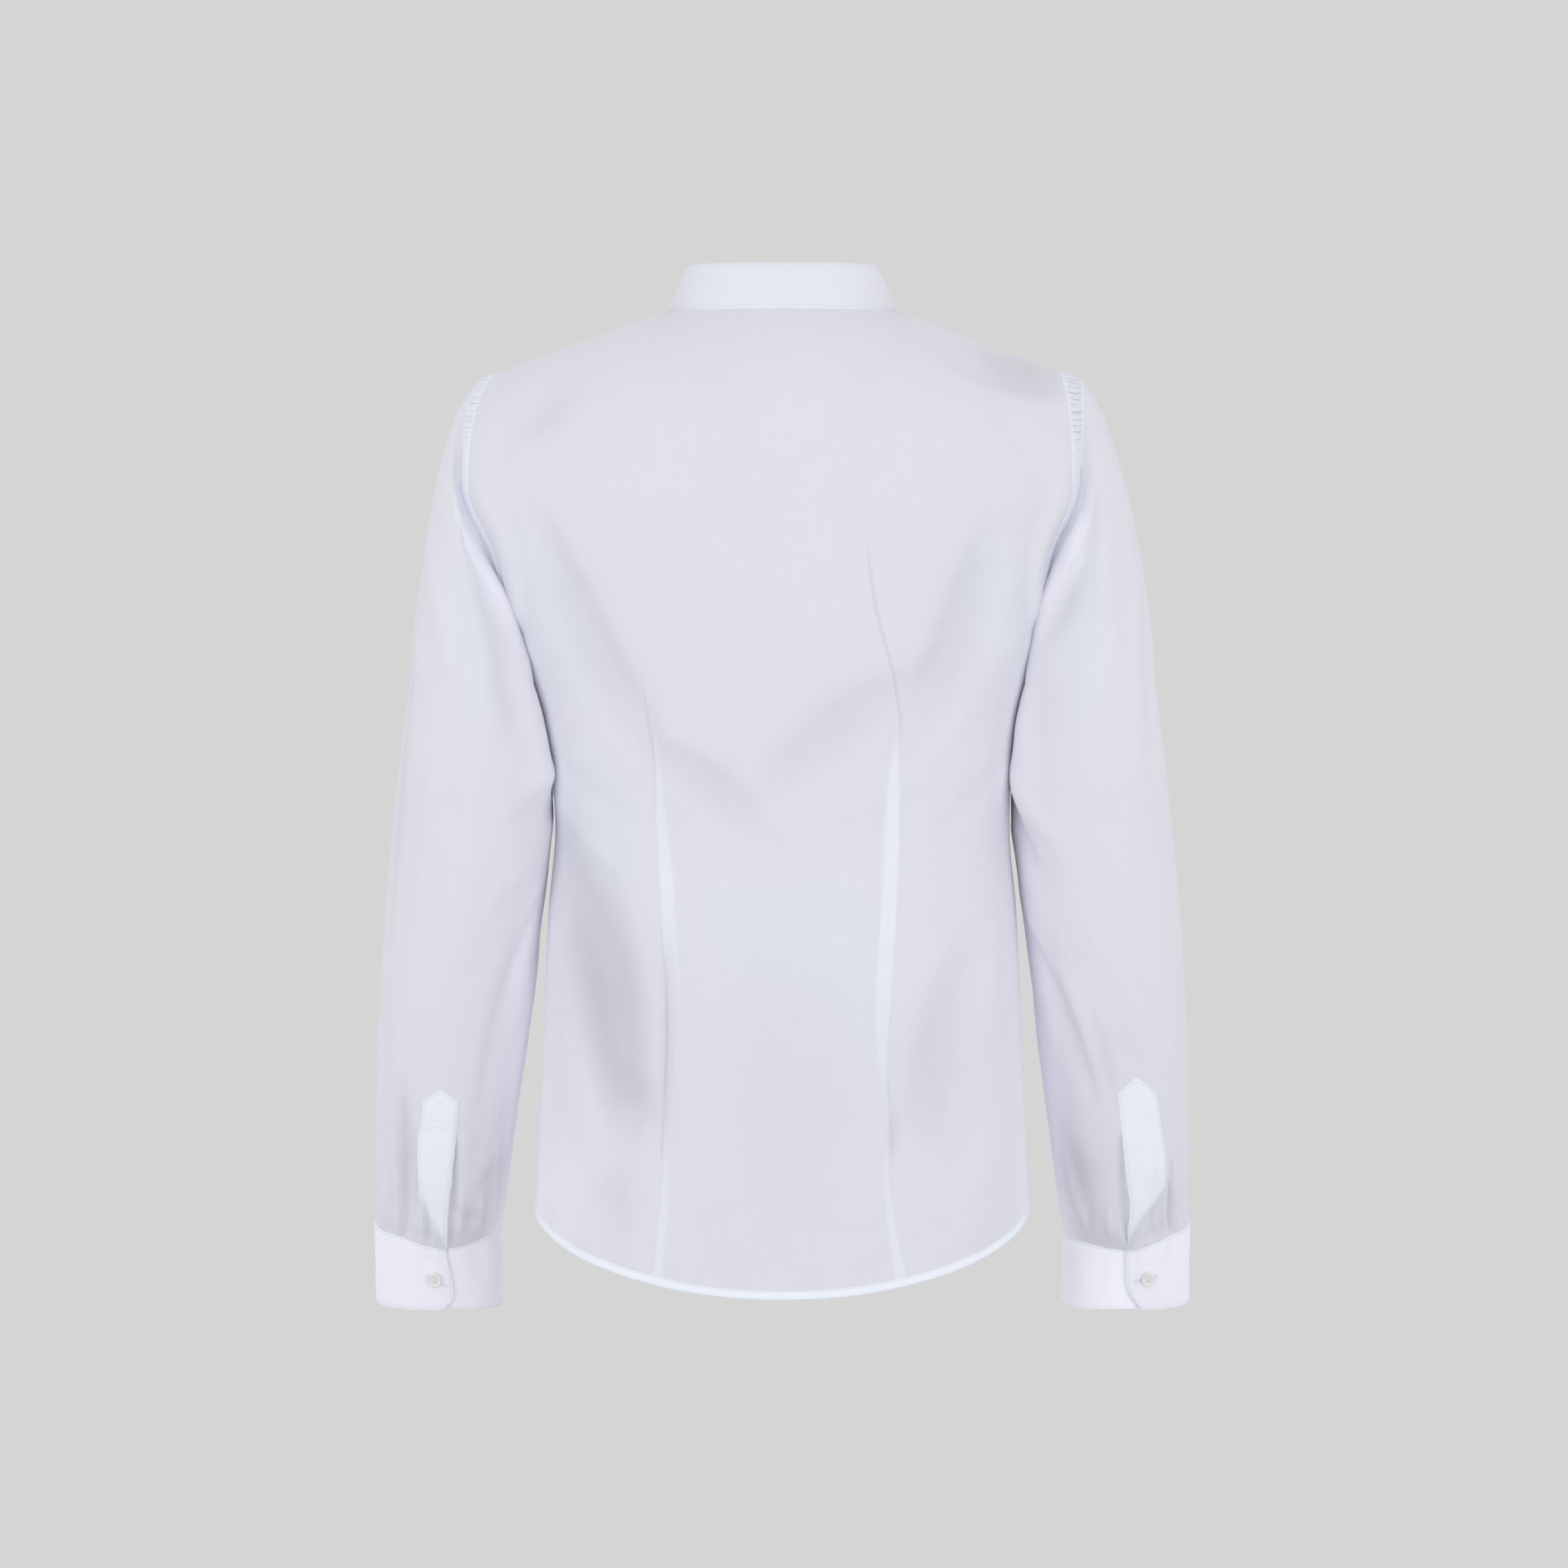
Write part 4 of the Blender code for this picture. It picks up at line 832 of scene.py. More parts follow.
cotton_double = cotton("cotton_double", 0.8)
crowded = np.concatenate([0.014 * np.linspace(0.0, 1.0, 12)[:-1] ** 1.5, [0.014]])
loop = neck_loop(120)
at = travelled(loop)
stations = np.concatenate([crowded, np.linspace(0.016, at[-1] - 0.016, 230), at[-1] - crowded[::-1]])
loop = along_axes(stations, at, loop)
inwards = unit((np.array(COLLAR_CENTRE) - loop) * np.array([1.0, 1.0, 0.0]))
at = travelled(loop)
short = np.clip(COLLAR_CORNER - np.minimum(at, at[-1] - at), 0.0, COLLAR_CORNER)
tall = COLLAR_HEIGHT - COLLAR_CORNER + np.sqrt(COLLAR_CORNER ** 2 - short ** 2)
rise = unit(np.array([0.0, 0.0, 1.0]) + COLLAR_LEAN * inwards)
out = -unit(inwards - np.sum(inwards * rise, axis=1, keepdims=True) * rise)
share = COLLAR_SHARES[:, None]
belly = COLLAR_BELLY * np.sin(np.pi * share) * np.sin(np.pi * at / at[-1])
place = np.stack(np.broadcast_arrays(stations[None, :], share * COLLAR_HEIGHT), axis=-1)
ripple = 0.00008 * waves(stations, 15, 0.004, 0.012)[None, :] * hump((share - 0.05) / 0.10)
lift = belly + COLLAR_LIFTS[:, None] + drift(place, 14, 0.00010, 0.060) + ripple
points = loop + rise * (share * tall)[..., None] + out * lift[..., None]
outwards = np.repeat(out[None], len(share), axis=0)
# Paler for the doubled cloth, and less so towards the sides, where the drop is painted shade
pale = COLLAR_PALE - COLLAR_SIDE_SHADE * ramp(np.abs(points[..., 0]), *COLLAR_SIDE_SHADE_SPAN)
collar = cloth_shell("collar_cloth", cotton_double, points, surface_normals(points, outwards), COLLAR_WALL,
                     place, pale)
riding(collar, "collar_band")

threaded = points + outwards * THREAD_SINK
high_line = np.array([along_axes(1.0 - COLLAR_STITCH / tall[i], COLLAR_SHARES, points[:, i])
                      for i in range(len(loop))]) + out * THREAD_SINK
stitched("collar_stitches", [threaded[3, 5:-5], high_line[5:-5], threaded[3:11, 5], threaded[3:11, -6]])


# ------------------------------------------------------------------------------------------------
# Sleeves
# Each sleeve is one piece of cotton, eased into the armhole at its head and pleated into the cuff.  Long soft
# folds run down it, with a crumple where the elbow bends and a hollow along the body side of the forearm.

SLEEVE_TOP_RING = -0.250
CUFF_SEAM = -0.614
DIP_START = -0.500
CUFF_DIP = 0.006
CUFF_DIP_HALF_ANGLE = 30.0
CUFF_TILT = 0.30
REST_GAP = 0.0012
# How the sleeve leaves the armhole over the shoulder, under the arm and beside it: how far out, how far up,
# and how far up from the upper arm it comes to it
HEAD_LEAVES = {"over": (0.021, -0.004, 0.092), "under": (0.0016, -0.005, 0.008),
               "beside": (0.004, -0.004, 0.012)}
HEAD_SPREAD = 0.006
HEAD_DRAW_IN = 0.004
HEAD_FILL = 0.0030
ROLL_ANGLE = 105.0
OVERLAP_REACH, LAP_RISE = 46.0, 0.0022
SLEEVE_FULLNESS, HEAD_FULLNESS = 0.80, 0.62
# Height at which each change begins, and over what height it takes place
WRIST_EASE = 0.045
HEAD_EASE = (-0.360, 0.060)
# The fold that hangs over at the back of the armhole: its angle and half span, its top and foot, and its way
FOLD_ANGLE, FOLD_SPAN = 150.0, 20.0
FOLD_TOP, FOLD_FOOT = (-0.160, -0.040), (-0.345, 0.050)
FOLD_WAY = (-1.0, 0.2, 0.0)
# Where the sleeve lies against the body: angle from the outer edge, and height
AGAINST_BODY, AGAINST_ABOVE = (158.0, 18.0), (-0.340, 0.060)
# The roundness of the head beside its seam: reach from it, angles between which it lies, and height
FILL_REACH, FILL_FROM, FILL_TO, FILL_BELOW = 0.034, (40.0, 30.0), (132.0, 26.0), (-0.100, -0.060)
# Heights of the light on the head and on the forearm, and of its upper end
HEAD_LIT, FOREARM_LIT, LIT_BELOW = (-0.250, 0.060), (-0.360, -0.080), (-0.075, -0.060)
FOLD_OVER = {1.0: 0.0088, -1.0: 0.0072}
SLEEVE_GAIN = 1.35
SLEEVE_COLUMNS, HEAD_ROWS, SLEEVE_ROWS = 180, 44, 132
# Painted light, lightening each sleeve's colour on its body side: how much along the arm, how much more on
# the forearm, and how much at the head of each sleeve
INNER_LIGHT, FOREARM_LIGHT, HEAD_LIGHT = 0.50, 0.65, {1.0: 0.90, -1.0: 0.60}

# Round each wrist, in degrees from the sleeve's outer edge: the overlap's end and the cuff button.  Then how
# far the cuff seam drops at the body side.
WRISTS = {1.0: {"overlap_end": 101.0, "button": 88.5, "inner_drop": 0.0025},
          -1.0: {"overlap_end": 92.5, "button": 73.0, "inner_drop": 0.0065}}

# Sleeve rings: outer and inner edge, half depth, centre forward of the side seam, slope of the ring
RING_COLUMNS = ("height", "outer", "inner", "half_depth", "forward", "slope")
RINGS = metres(1,
    (-250, 249, 140, 71, 0, 0), (-300, 256, 140, 67, 0, 0.02), (-345, 261, 153, 62, 2, 0.06),
    (-390, 265.5, 159, 58, 7, 0.13), (-444, 270, 166.5, 54, 16, 0.2), (-498, 273, 174.5, 50, 28, 0.25),
    (-553, 274.5, 181.2, 46, 42, 0.29), (-598, 275.3, 188, 40, 55, 0.3),
    (-614, 276.4, 191.2, 31.5, 60, 0.3))

# Creases: start angle and height, end angle and height, bow, half width, height, skew.  Angles run round the
# sleeve from its outer edge, over the back to 180 at the body side; a degree counts as a millimetre.
SLEEVE_CREASES = {
    1.0: metres(1,
        (8, -165, 60, -256, 4, 11, -3, 0.3), (30, -150, 76, -240, 4, 12, 2.2, 0),
        (100, -130, 108, -226, 2, 14, 2, 0), (112, -220, 100, -315, 2, 14, 1.6, 0),
        (128, -175, 134, -262, 2, 12, -2, 0), (122, -232, 132, -290, -1, 11, -1.4, 0),
        (172, -306, 134, -322, -2, 9, 2.2, 0), (172, -334, 116, -346, -2, 10, -1.8, -0.2),
        (156, -360, 120, -384, 2, 12, 1.4, 0), (166, -390, 122, -520, -10, 13, -2.6, 0.35),
        (176, -430, 158, -560, -4, 12, 2.6, 0), (124, -510, 118, -580, 0, 12, -1.2, 0),
        (36, -280, 42, -420, 3, 11, -1.8, 0), (56, -290, 60, -400, 3, 12, 1.4, 0),
        (74, -320, 66, -460, -3, 12, -1.3, 0), (92, -340, 86, -470, 2, 14, 1.4, 0),
        (26, -460, 24, -570, 2, 10, -1.4, 0), (46, -440, 42, -540, 2, 12, 1.2, 0),
        (45, -470, 53, -620, 0, 4.4, 2.6, -0.3), (52, -520, 59, -622, 0, 5.2, -3.4, 0.6),
        (22, -552, 49, -617, 3, 4, -1.6, 0.3), (27, -580, 34, -618, 0, 4.5, 1.4, 0),
        (60, -545, 68, -612, 2, 7, -1.8, 0.2), (69, -560, 79, -626, 0, 2.8, 2, 0),
        (75, -590, 84, -628, 0, 3.4, -1.8, 0), (100, -545, 101, -628, 0, 3.2, -2.8, 0.4),
        (103, -603, 135, -611, -2, 3.6, -1.2, 0), (120, -592, 164, -566, 3, 6, -0.8, 0),
        (148, -560, 146, -600, 0, 8, -1.2, 0), (144, -603, 147, -618, 0, 1.8, -1.2, 0),
        (150, -601, 153, -618, 0, 1.8, -1.4, 0), (156, -603, 158, -618, 0, 1.8, -1.2, 0),
        (164, -604, 166, -618, 0, 2, -1.2, 0), (108, -590, 110, -622, 1, 4, 1.4, 0),
        (118, -604, 121, -620, 0, 3, -0.8, 0), (128, -592, 131, -618, 1, 4.5, 1.4, 0),
        (143, -560, 148, -614, 2, 6, 1.8, 0), (136, -596, 139, -618, 0, 3.5, -1.4, 0),
        (160, -575, 166, -612, 0, 6, -2, 0), (-20, -160, -58, -262, -3, 12, -2.6, -0.2),
        (-46, -170, -78, -250, -3, 12, 1.8, 0), (-160, -270, -118, -310, 3, 11, -3.2, 0),
        (-170, -318, -128, -338, 2, 10, 2.6, 0), (-168, -350, -112, -362, 2, 11, -3, 0),
        (-40, -300, -46, -430, -3, 12, -1.6, 0), (-84, -330, -76, -460, 3, 13, 1.4, 0),
        (-160, -400, -122, -530, 8, 14, -3.8, -0.3), (-62, -480, -58, -590, -2, 12, -1.6, 0),
        (-30, -560, -36, -615, 1, 6, -2, 0), (-70, -575, -74, -612, 1, 5.5, 1.6, 0),
        (-104, -570, -100, -610, 1, 6, -1.8, 0), (-136, -580, -132, -610, 1, 6, 1.4, 0)),
    -1.0: metres(1,
        (48, -140, 58, -236, 3, 10, -2.2, 0), (76, -120, 82, -220, 2, 13, 2, 0),
        (120, -130, 114, -200, 2, 13, 1.8, 0), (108, -172, 138, -222, 3, 10, -3, -0.4),
        (26, -190, 36, -312, -3, 9, -2.4, 0.2), (48, -240, 56, -330, 2, 11, 1.6, 0),
        (96, -240, 88, -330, 2, 14, 1.4, 0), (140, -240, 130, -300, 2, 13, -2.2, 0),
        (168, -300, 124, -352, 2, 10, 2.6, 0), (174, -318, 140, -372, 3, 10, -3.4, 0.3),
        (150, -380, 120, -430, 2, 12, 1.2, 0), (166, -412, 112, -526, -8, 11, -3, 0.4),
        (128, -440, 104, -520, -3, 9, 1.8, 0), (107, -472, 97, -518, 0, 7, -2.2, 0),
        (176, -470, 160, -570, -3, 11, 1.8, 0), (74, -425, 68, -505, 2, 10, 1.8, 0),
        (60, -370, 56, -490, 2, 11, -1.4, 0), (40, -400, 38, -520, 2, 11, 1.2, 0),
        (24, -440, 22, -560, 2, 10, -1.2, 0), (88, -340, 84, -430, 2, 13, -1.2, 0),
        (138, -552, 118, -606, 3, 14, -1, 0), (146, -570, 128, -614, 2, 7, 1.8, 0),
        (91, -556, 90, -628, 0, 2.8, -2.6, 0.4), (44, -572, 48, -618, 0, 2.4, -2.6, 0.3),
        (62, -575, 58, -618, 0, 5, -3, 0), (44, -580, 41, -616, 0, 4.5, 2.2, 0),
        (30, -565, 28, -614, 1, 5.5, -2, 0), (58, -590, 62, -620, 0, 4.5, 2, 0),
        (66, -596, 68, -622, 0, 4, -2.2, 0), (104, -600, 106, -620, 0, 3.5, 1.4, 0),
        (124, -600, 126, -618, 0, 3.5, -1.2, 0), (-24, -150, -52, -250, -3, 12, -2.4, -0.2),
        (-60, -150, -84, -240, -3, 13, 1.8, 0), (-162, -262, -120, -304, 3, 11, -3, 0),
        (-172, -312, -130, -330, 2, 10, 2.6, 0), (-166, -344, -110, -358, 2, 11, -2.8, 0),
        (-36, -310, -44, -440, -3, 12, -1.6, 0), (-90, -350, -80, -470, 3, 13, 1.4, 0),
        (-158, -410, -124, -540, 8, 14, -3.6, -0.3), (-56, -490, -54, -590, -2, 12, -1.6, 0),
        (-34, -566, -40, -615, 1, 6, -2, 0), (-78, -570, -80, -612, 1, 5.5, 1.6, 0),
        (-110, -575, -106, -610, 1, 6, -1.8, 0)),
}
# Painted cool light, tinting the colour down the back of the upper sleeve: the same columns as the creases,
# with the amount in place of the height
SLEEVE_PAINTED_COOL_LIGHT = metres(2, (100, -120, 100, -300, 0, 30, 0.5, 0.0))

# Painted shade, darkening each sleeve's colour in its hollows and creases, with the amount in place of the
# height
SLEEVE_PAINTED_SHADING = {
    1.0: metres(2,
        (60, -545, 68, -612, 2, 6, 0.15, 0), (53, -530, 58, -620, 0, 4, 0.4, 0.5),
        (103, -596, 134, -610, -2, 6, 0.2, 0), (116, -595, 160, -568, 3, 6, 0.25, 0),
        (152, -565, 148, -602, 0, 10, 0.45, 0), (121, -232, 126, -290, -1, 8, 0.15, 0),
        (22, -200, 30, -420, 0, 6, 0.35, 0)),
    -1.0: metres(2,
        (140, -552, 124, -600, 2, 18, 0.62, 0), (44, -572, 48, -618, 0, 3, 0.5, 0),
        (60, -575, 58, -618, 0, 7, 0.45, 0), (104, -480, 94, -530, 0, 8, 0.25, 0),
        (108, -172, 138, -222, 3, 12, 0.3, 0)),
}


def ring(name, height):
    return column(RINGS, RING_COLUMNS, name, height)


def cuff_dip(side, degrees):
    """Drop of the cuff seam beside the wrist opening."""
    away = (degrees - WRISTS[side]["overlap_end"] + 180.0) % 360.0 - 180.0
    inner = WRISTS[side]["inner_drop"] * ((1.0 - np.cos(np.radians(degrees))) / 2.0) ** 2
    return CUFF_DIP * hump(away / CUFF_DIP_HALF_ANGLE) + inner


def ring_points(side, height, degrees):
    """One ring of a sleeve, drawn as the left one."""
    angles = np.radians(degrees)
    outer = ring("outer", height)
    beside = body("half_width", height) + side * body("lean", height) + REST_GAP
    inner = np.maximum(ring("inner", height), beside)
    half_depth = ring("half_depth", height)
    wrist = smooth((height - CUFF_SEAM - WRIST_EASE) / -WRIST_EASE)
    fuller = SLEEVE_FULLNESS + (1.0 - SLEEVE_FULLNESS) * wrist
    fuller = fuller + (HEAD_FULLNESS - SLEEVE_FULLNESS) * ramp(height, *HEAD_EASE) * (degrees < 180.0)
    through = np.sign(np.sin(angles)) * np.abs(np.sin(angles)) ** fuller
    x = (outer + inner) / 2.0 + (outer - inner) / 2.0 * np.cos(angles)
    y = -ring("forward", height) + half_depth * through
    z = height - ring("slope", height) * half_depth * through
    dip = cuff_dip(side, degrees) * smooth((DIP_START - height) / (DIP_START - CUFF_SEAM))
    return np.stack([x, y - dip * CUFF_TILT, z - dip], axis=-1)


def armhole_loop(side, degrees):
    """The armhole seam at each angle, drawn as the left one: down the back, under the arm, up the front."""
    turn = np.minimum(degrees, 360.0 - degrees)
    at = np.where(turn < ROLL_ANGLE, 3.0 - turn / ROLL_ANGLE,
                  2.0 - (turn - ROLL_ANGLE) / (180.0 - ROLL_ANGLE))
    edge = np.full(1, side)
    back_edge, front_edge = (np.array([panel_sheet(face, level[None], edge, edge)[0, 0] for level in at])
                             for face in ("back", "front"))
    return np.where((degrees <= 180.0)[:, None], back_edge, front_edge) * np.array([side, 1.0, 1.0])


def sleeve_rings(side, degrees):
    """Rings of the sleeve: the head from the armhole to the upper arm, then the arm down to the cuff."""
    angles = np.radians(degrees)
    seam = armhole_loop(side, degrees)
    over = (1.0 + np.cos(angles)) / 2.0
    weights = {"over": over, "under": 1.0 - over, "beside": np.abs(np.sin(angles))}
    out, down, lift = sum(np.outer(HEAD_LEAVES[name], weight) for name, weight in weights.items())
    leave = np.stack([out, HEAD_SPREAD * np.sin(angles), down], axis=-1)
    rise = np.stack([-HEAD_DRAW_IN * over, 0.0 * over, lift], axis=-1)
    arm = ring_points(side, SLEEVE_TOP_RING, degrees)
    rings = []
    for t in np.linspace(0.0, 1.0, HEAD_ROWS + 1) ** 1.15:
        start = seam * (1 - t) ** 3 + (seam + leave) * 3 * t * (1 - t) ** 2
        rings.append(start + (arm + rise) * 3 * t * t * (1 - t) + arm * t ** 3)
    for height in spread(SLEEVE_TOP_RING, CUFF_SEAM, SLEEVE_ROWS + 1, [(CUFF_SEAM, 1.2, 0.06)])[1:]:
        rings.append(ring_points(side, height, degrees))
    return np.array(rings)


degrees = 360.0 * np.arange(SLEEVE_COLUMNS) / SLEEVE_COLUMNS
signed = (degrees + 180.0) % 360.0 - 180.0
round_it = np.abs(signed)
SIDES = (("left", 1.0), ("right", -1.0))
sleeves, sleeve_tubes = {}, {}
for title, side in SIDES:
    points = sleeve_rings(side, degrees)
    outside = points - points.mean(axis=1, keepdims=True)
    z = points[..., 2]
    folded = hump((degrees - FOLD_ANGLE) / FOLD_SPAN) * ramp(z, *FOLD_TOP) * ramp(z, *FOLD_FOOT)
    points = points + FOLD_OVER[side] * folded[..., None] * np.array(FOLD_WAY)
    normals = surface_normals(points, outside, around=True)
    place = np.stack([signed * 0.001 + 0.0 * z, z], axis=-1)
    above_cuff = np.linalg.norm(points - points[-1], axis=-1)
    from_seam = np.linalg.norm(points - points[0], axis=-1)
    from_end = WRISTS[side]["overlap_end"] - signed
    lapped = ramp(from_end, OVERLAP_REACH, -14.0) * ramp(from_end, -1.0, 2.0)
    beside_body = ramp(round_it, *AGAINST_BODY) * ramp(z, *AGAINST_ABOVE)
    height = SLEEVE_GAIN * crease_heights(SLEEVE_CREASES[side], place)
    height += drift(points[..., [1, 2]] + points[..., :1], 61 if side > 0.0 else 67, 0.00016, 0.110)
    height *= (1.0 - beside_body) * smooth(from_seam / 0.012) * (0.15 + 0.85 * smooth(above_cuff / 0.004))
    height += 0.0004 * hump(from_seam / 0.0020)
    filled = HEAD_FILL * (0.35 + 0.65 * ramp(z, *FILL_BELOW))
    filled = filled * np.sin(np.pi * np.clip(from_seam / FILL_REACH, 0.0, 1.0))
    height += filled * ramp(round_it, *FILL_FROM) * (1.0 - ramp(round_it, *FILL_TO))
    height += LAP_RISE * lapped * (1.0 - smooth(above_cuff / 0.012))
    mirror = np.array([side, 1.0, 1.0])
    points = points + normals * height[..., None]
    points, normals = points * mirror, surface_normals(points, outside, around=True) * mirror
    z = points[..., 2]
    # Painted light: the sleeve's colour is lightened on its body side below the shoulder, going in with the
    # painted shade as a negative amount
    lit = INNER_LIGHT + (HEAD_LIGHT[side] - INNER_LIGHT) * ramp(z, *HEAD_LIT)
    lit += FOREARM_LIGHT * ramp(z, *FOREARM_LIT)
    lit *= smooth((round_it - 126.0 + 46.0 * ramp(z, -0.240, 0.100)) / 34.0)
    lit *= ramp(z, *LIT_BELOW)
    sleeve = cloth_shell("sleeve_" + title + "_cloth", cotton_single, points, normals, CLOTH,
                         grain_places(points, 0, HEAD_ROWS), 0.0, crease_heights(SLEEVE_PAINTED_COOL_LIGHT, place),
                         crease_heights(SLEEVE_PAINTED_SHADING[side], place) - lit, around=True)
    riding(sleeve, "sleeve_" + title)
    sleeves[side], sleeve_tubes[side] = (points, normals), sleeve


# ------------------------------------------------------------------------------------------------
# Armhole seams
# The seam allowances of body and sleeve are pressed towards the body and stitched down beside the seam.  They
# show as a paler strip that puckers where the sleeve head is eased in, with painted shade in its pucker
# troughs.

# Reach onto the panel from the seam, and height over it
STRIP_PROFILE = metres(0,
    (-0.6, -0.1), (0.2, 0.2), (1.4, 0.14), (2.2, 0.36), (3.6, 0.52), (5, 0.5), (6.4, 0.48), (7.8, 0.44),
    (8.8, 0.38), (9.5, 0.28), (10.1, -0.1))
STRIP_WIDTH = 0.0101
STRIP_WALL = 0.0009
# How dark the painted shade in the troughs of the puckers is
STRIP_SHADE = 1.15
WRINKLE_PITCH = 0.0048
WRINKLE_HEIGHT = 0.00055
SLEEVE_HEAD_ROWS = 40
STRIP_PITCH = 0.00045

# Each strip: its panel's sheet and edge column, a column well inside, seed, how far it puckers, how wide and
# pale it is, and how far it reaches over the sleeve
STRIPS = {
    "back_left": (back_points, -1, HALF_COLUMNS, 40, 0.9, 0.80, 0.60, 0.0008),
    "back_right": (back_points, 0, HALF_COLUMNS, 50, 1.0, 1.10, 0.45, 0.0044),
    "front_left": (fronts["left"][0], -1, centre_line, 60, 0.7, 0.8, 0.5, 0.0008),
    "front_right": (fronts["right"][0], -1, centre_line, 70, 0.8, 0.8, 0.5, 0.0008),
}
strips, strip_lines = {}, []
for title, (sheet, edge, inside_column, seed, eased, wider, pale, beyond) in STRIPS.items():
    reaches, lifts = np.array(STRIP_PROFILE).T
    reaches = np.where(reaches > 0.003, 0.003 + (reaches - 0.003) * wider, reaches)
    reaches = reaches - beyond * (1.0 - reaches / STRIP_WIDTH)
    line = sheet[UPRIGHT_ROWS:, edge]
    band, normals = edge_band(sheet, np.array([0.0, FACING[title.split("_")[0]], 0.0]), line,
                              sheet[UPRIGHT_ROWS + 40, inside_column], reaches, STRIP_PITCH)
    at = travelled(band[0])
    from_top = at[-1] - at
    slanted = from_top - 0.28 * reaches[:, None] + 0.0009 * waves(from_top, seed, 0.012, 0.030)
    fine = (slanted / WRINKLE_PITCH) % 1.0 - 0.5
    wrinkle = (0.35 * np.cos(2.0 * math.pi * fine) - 1.6 * hump((fine - 0.08) / 0.09)) * eased
    wrinkle = wrinkle * (1.0 - 0.85 * ramp(from_top, 0.045, 0.040))
    wrinkle = wrinkle * (0.90 + 0.22 * waves(from_top, seed + 1, 0.010, 0.024))
    inside = smooth((reaches - reaches[1]) / 0.0016) * (1.0 - smooth((reaches - reaches[-4]) / 0.0018))
    inside = inside[:, None]
    uneven = 0.0003 + WRINKLE_HEIGHT * wrinkle + 0.00012 * waves(at, seed + 2, 0.004, 0.011)
    lift = lifts[:, None] + uneven * inside
    seam = evenly(line, STRIP_PITCH)
    share = (1.0 - ramp(from_top, 0.068, 0.030))[:, None]
    arm = sleeves[1.0 if title.endswith("left") else -1.0][0]
    arm_tree = sheet_tree(np.concatenate([arm, arm[:, :1]], axis=1)[:SLEEVE_HEAD_ROWS])
    for row in np.nonzero(reaches < 0.0)[0]:
        band[row], away = laid_on(arm_tree, seam + (band[row] - seam) * share, normals[row])
        normals[row] = unit(evened(away, 2))
    points = band + normals * lift[..., None]
    # The strip's colour is darkened in the troughs of its puckers as painted shade
    strip = cloth_shell("armhole_strip_" + title, cotton_single, points, surface_normals(points, normals),
                        STRIP_WALL, band_grain(band), pale, 0.0,
                        STRIP_SHADE * np.clip(-wrinkle, 0.0, 1.2) * inside)
    strips[title] = riding(strip)
    strip_lines.append((points[2] + normals[2] * THREAD_SINK)[2:-3])
stitched("armhole_stitches", strip_lines)

for title in ("left", "right"):
    hems["front_" + title]
    strips["front_" + title]


# ------------------------------------------------------------------------------------------------
# Sleeve plackets
# A folded strip with a pointed top covers the slit above each cuff.  It is stitched round its edges, with one
# row across below the point, and painted shade darkens its lower outer corner beside the pleats.

PLACKET_WALL = 0.0007
PLACKET_LIFT = 0.0011
PLACKET_STITCH = 0.0019
PLACKET_OPEN = 0.0010
PLACKET_SINK = 0.00042
PLACKET_ROWS, PLACKET_COLUMNS = 76, 29

# Height, angle of the outer edge, angle of the inner edge; then the point, and the row of stitches across
PLACKETS = {
    1.0: (((-0.5290, 72.0, 100.2), (-0.5460, 71.2, 101.0), (-0.5500, 68.6, 101.0), (-0.5723, 68.8, 98.6),
           (-0.5935, 72.5, 97.3), (-0.6080, 77.0, 97.0), (-0.6240, 85.0, 98.6), (-0.6290, 92.5, 99.4)),
          (86.2, -0.5206), -0.548),
    -1.0: (((-0.5235, 58.5, 91.5), (-0.5424, 55.2, 90.4), (-0.5674, 50.6, 88.2), (-0.5860, 52.0, 87.0),
            (-0.5957, 58.1, 85.8), (-0.6080, 71.6, 86.5), (-0.6195, 81.2, 89.4), (-0.6285, 87.0, 90.6)),
           (75.2, -0.5119), -0.546),
}


def on_sleeve(side, degrees, heights):
    """Places on a sleeve's sheet and the way that it faces there, by angle and height."""
    both = np.concatenate(sleeves[side], axis=-1)[HEAD_ROWS:]
    place = degrees / 360.0 * SLEEVE_COLUMNS
    low = np.floor(place).astype(int)
    found = []
    for i, share, height in zip(low.ravel(), (place - low).ravel(), heights.ravel()):
        line = (both[:, i % SLEEVE_COLUMNS] * (1.0 - share) + both[:, (i + 1) % SLEEVE_COLUMNS] * share)[::-1]
        found.append(along_axes(height, line[:, 2], line))
    found = np.array(found).reshape(degrees.shape + (6,))
    return found[..., :3], unit(found[..., 3:])


def evened_both(values, reach):
    """A running mean along the first two axes."""
    return evened(evened(values, reach).transpose(1, 0, 2), reach).transpose(1, 0, 2)


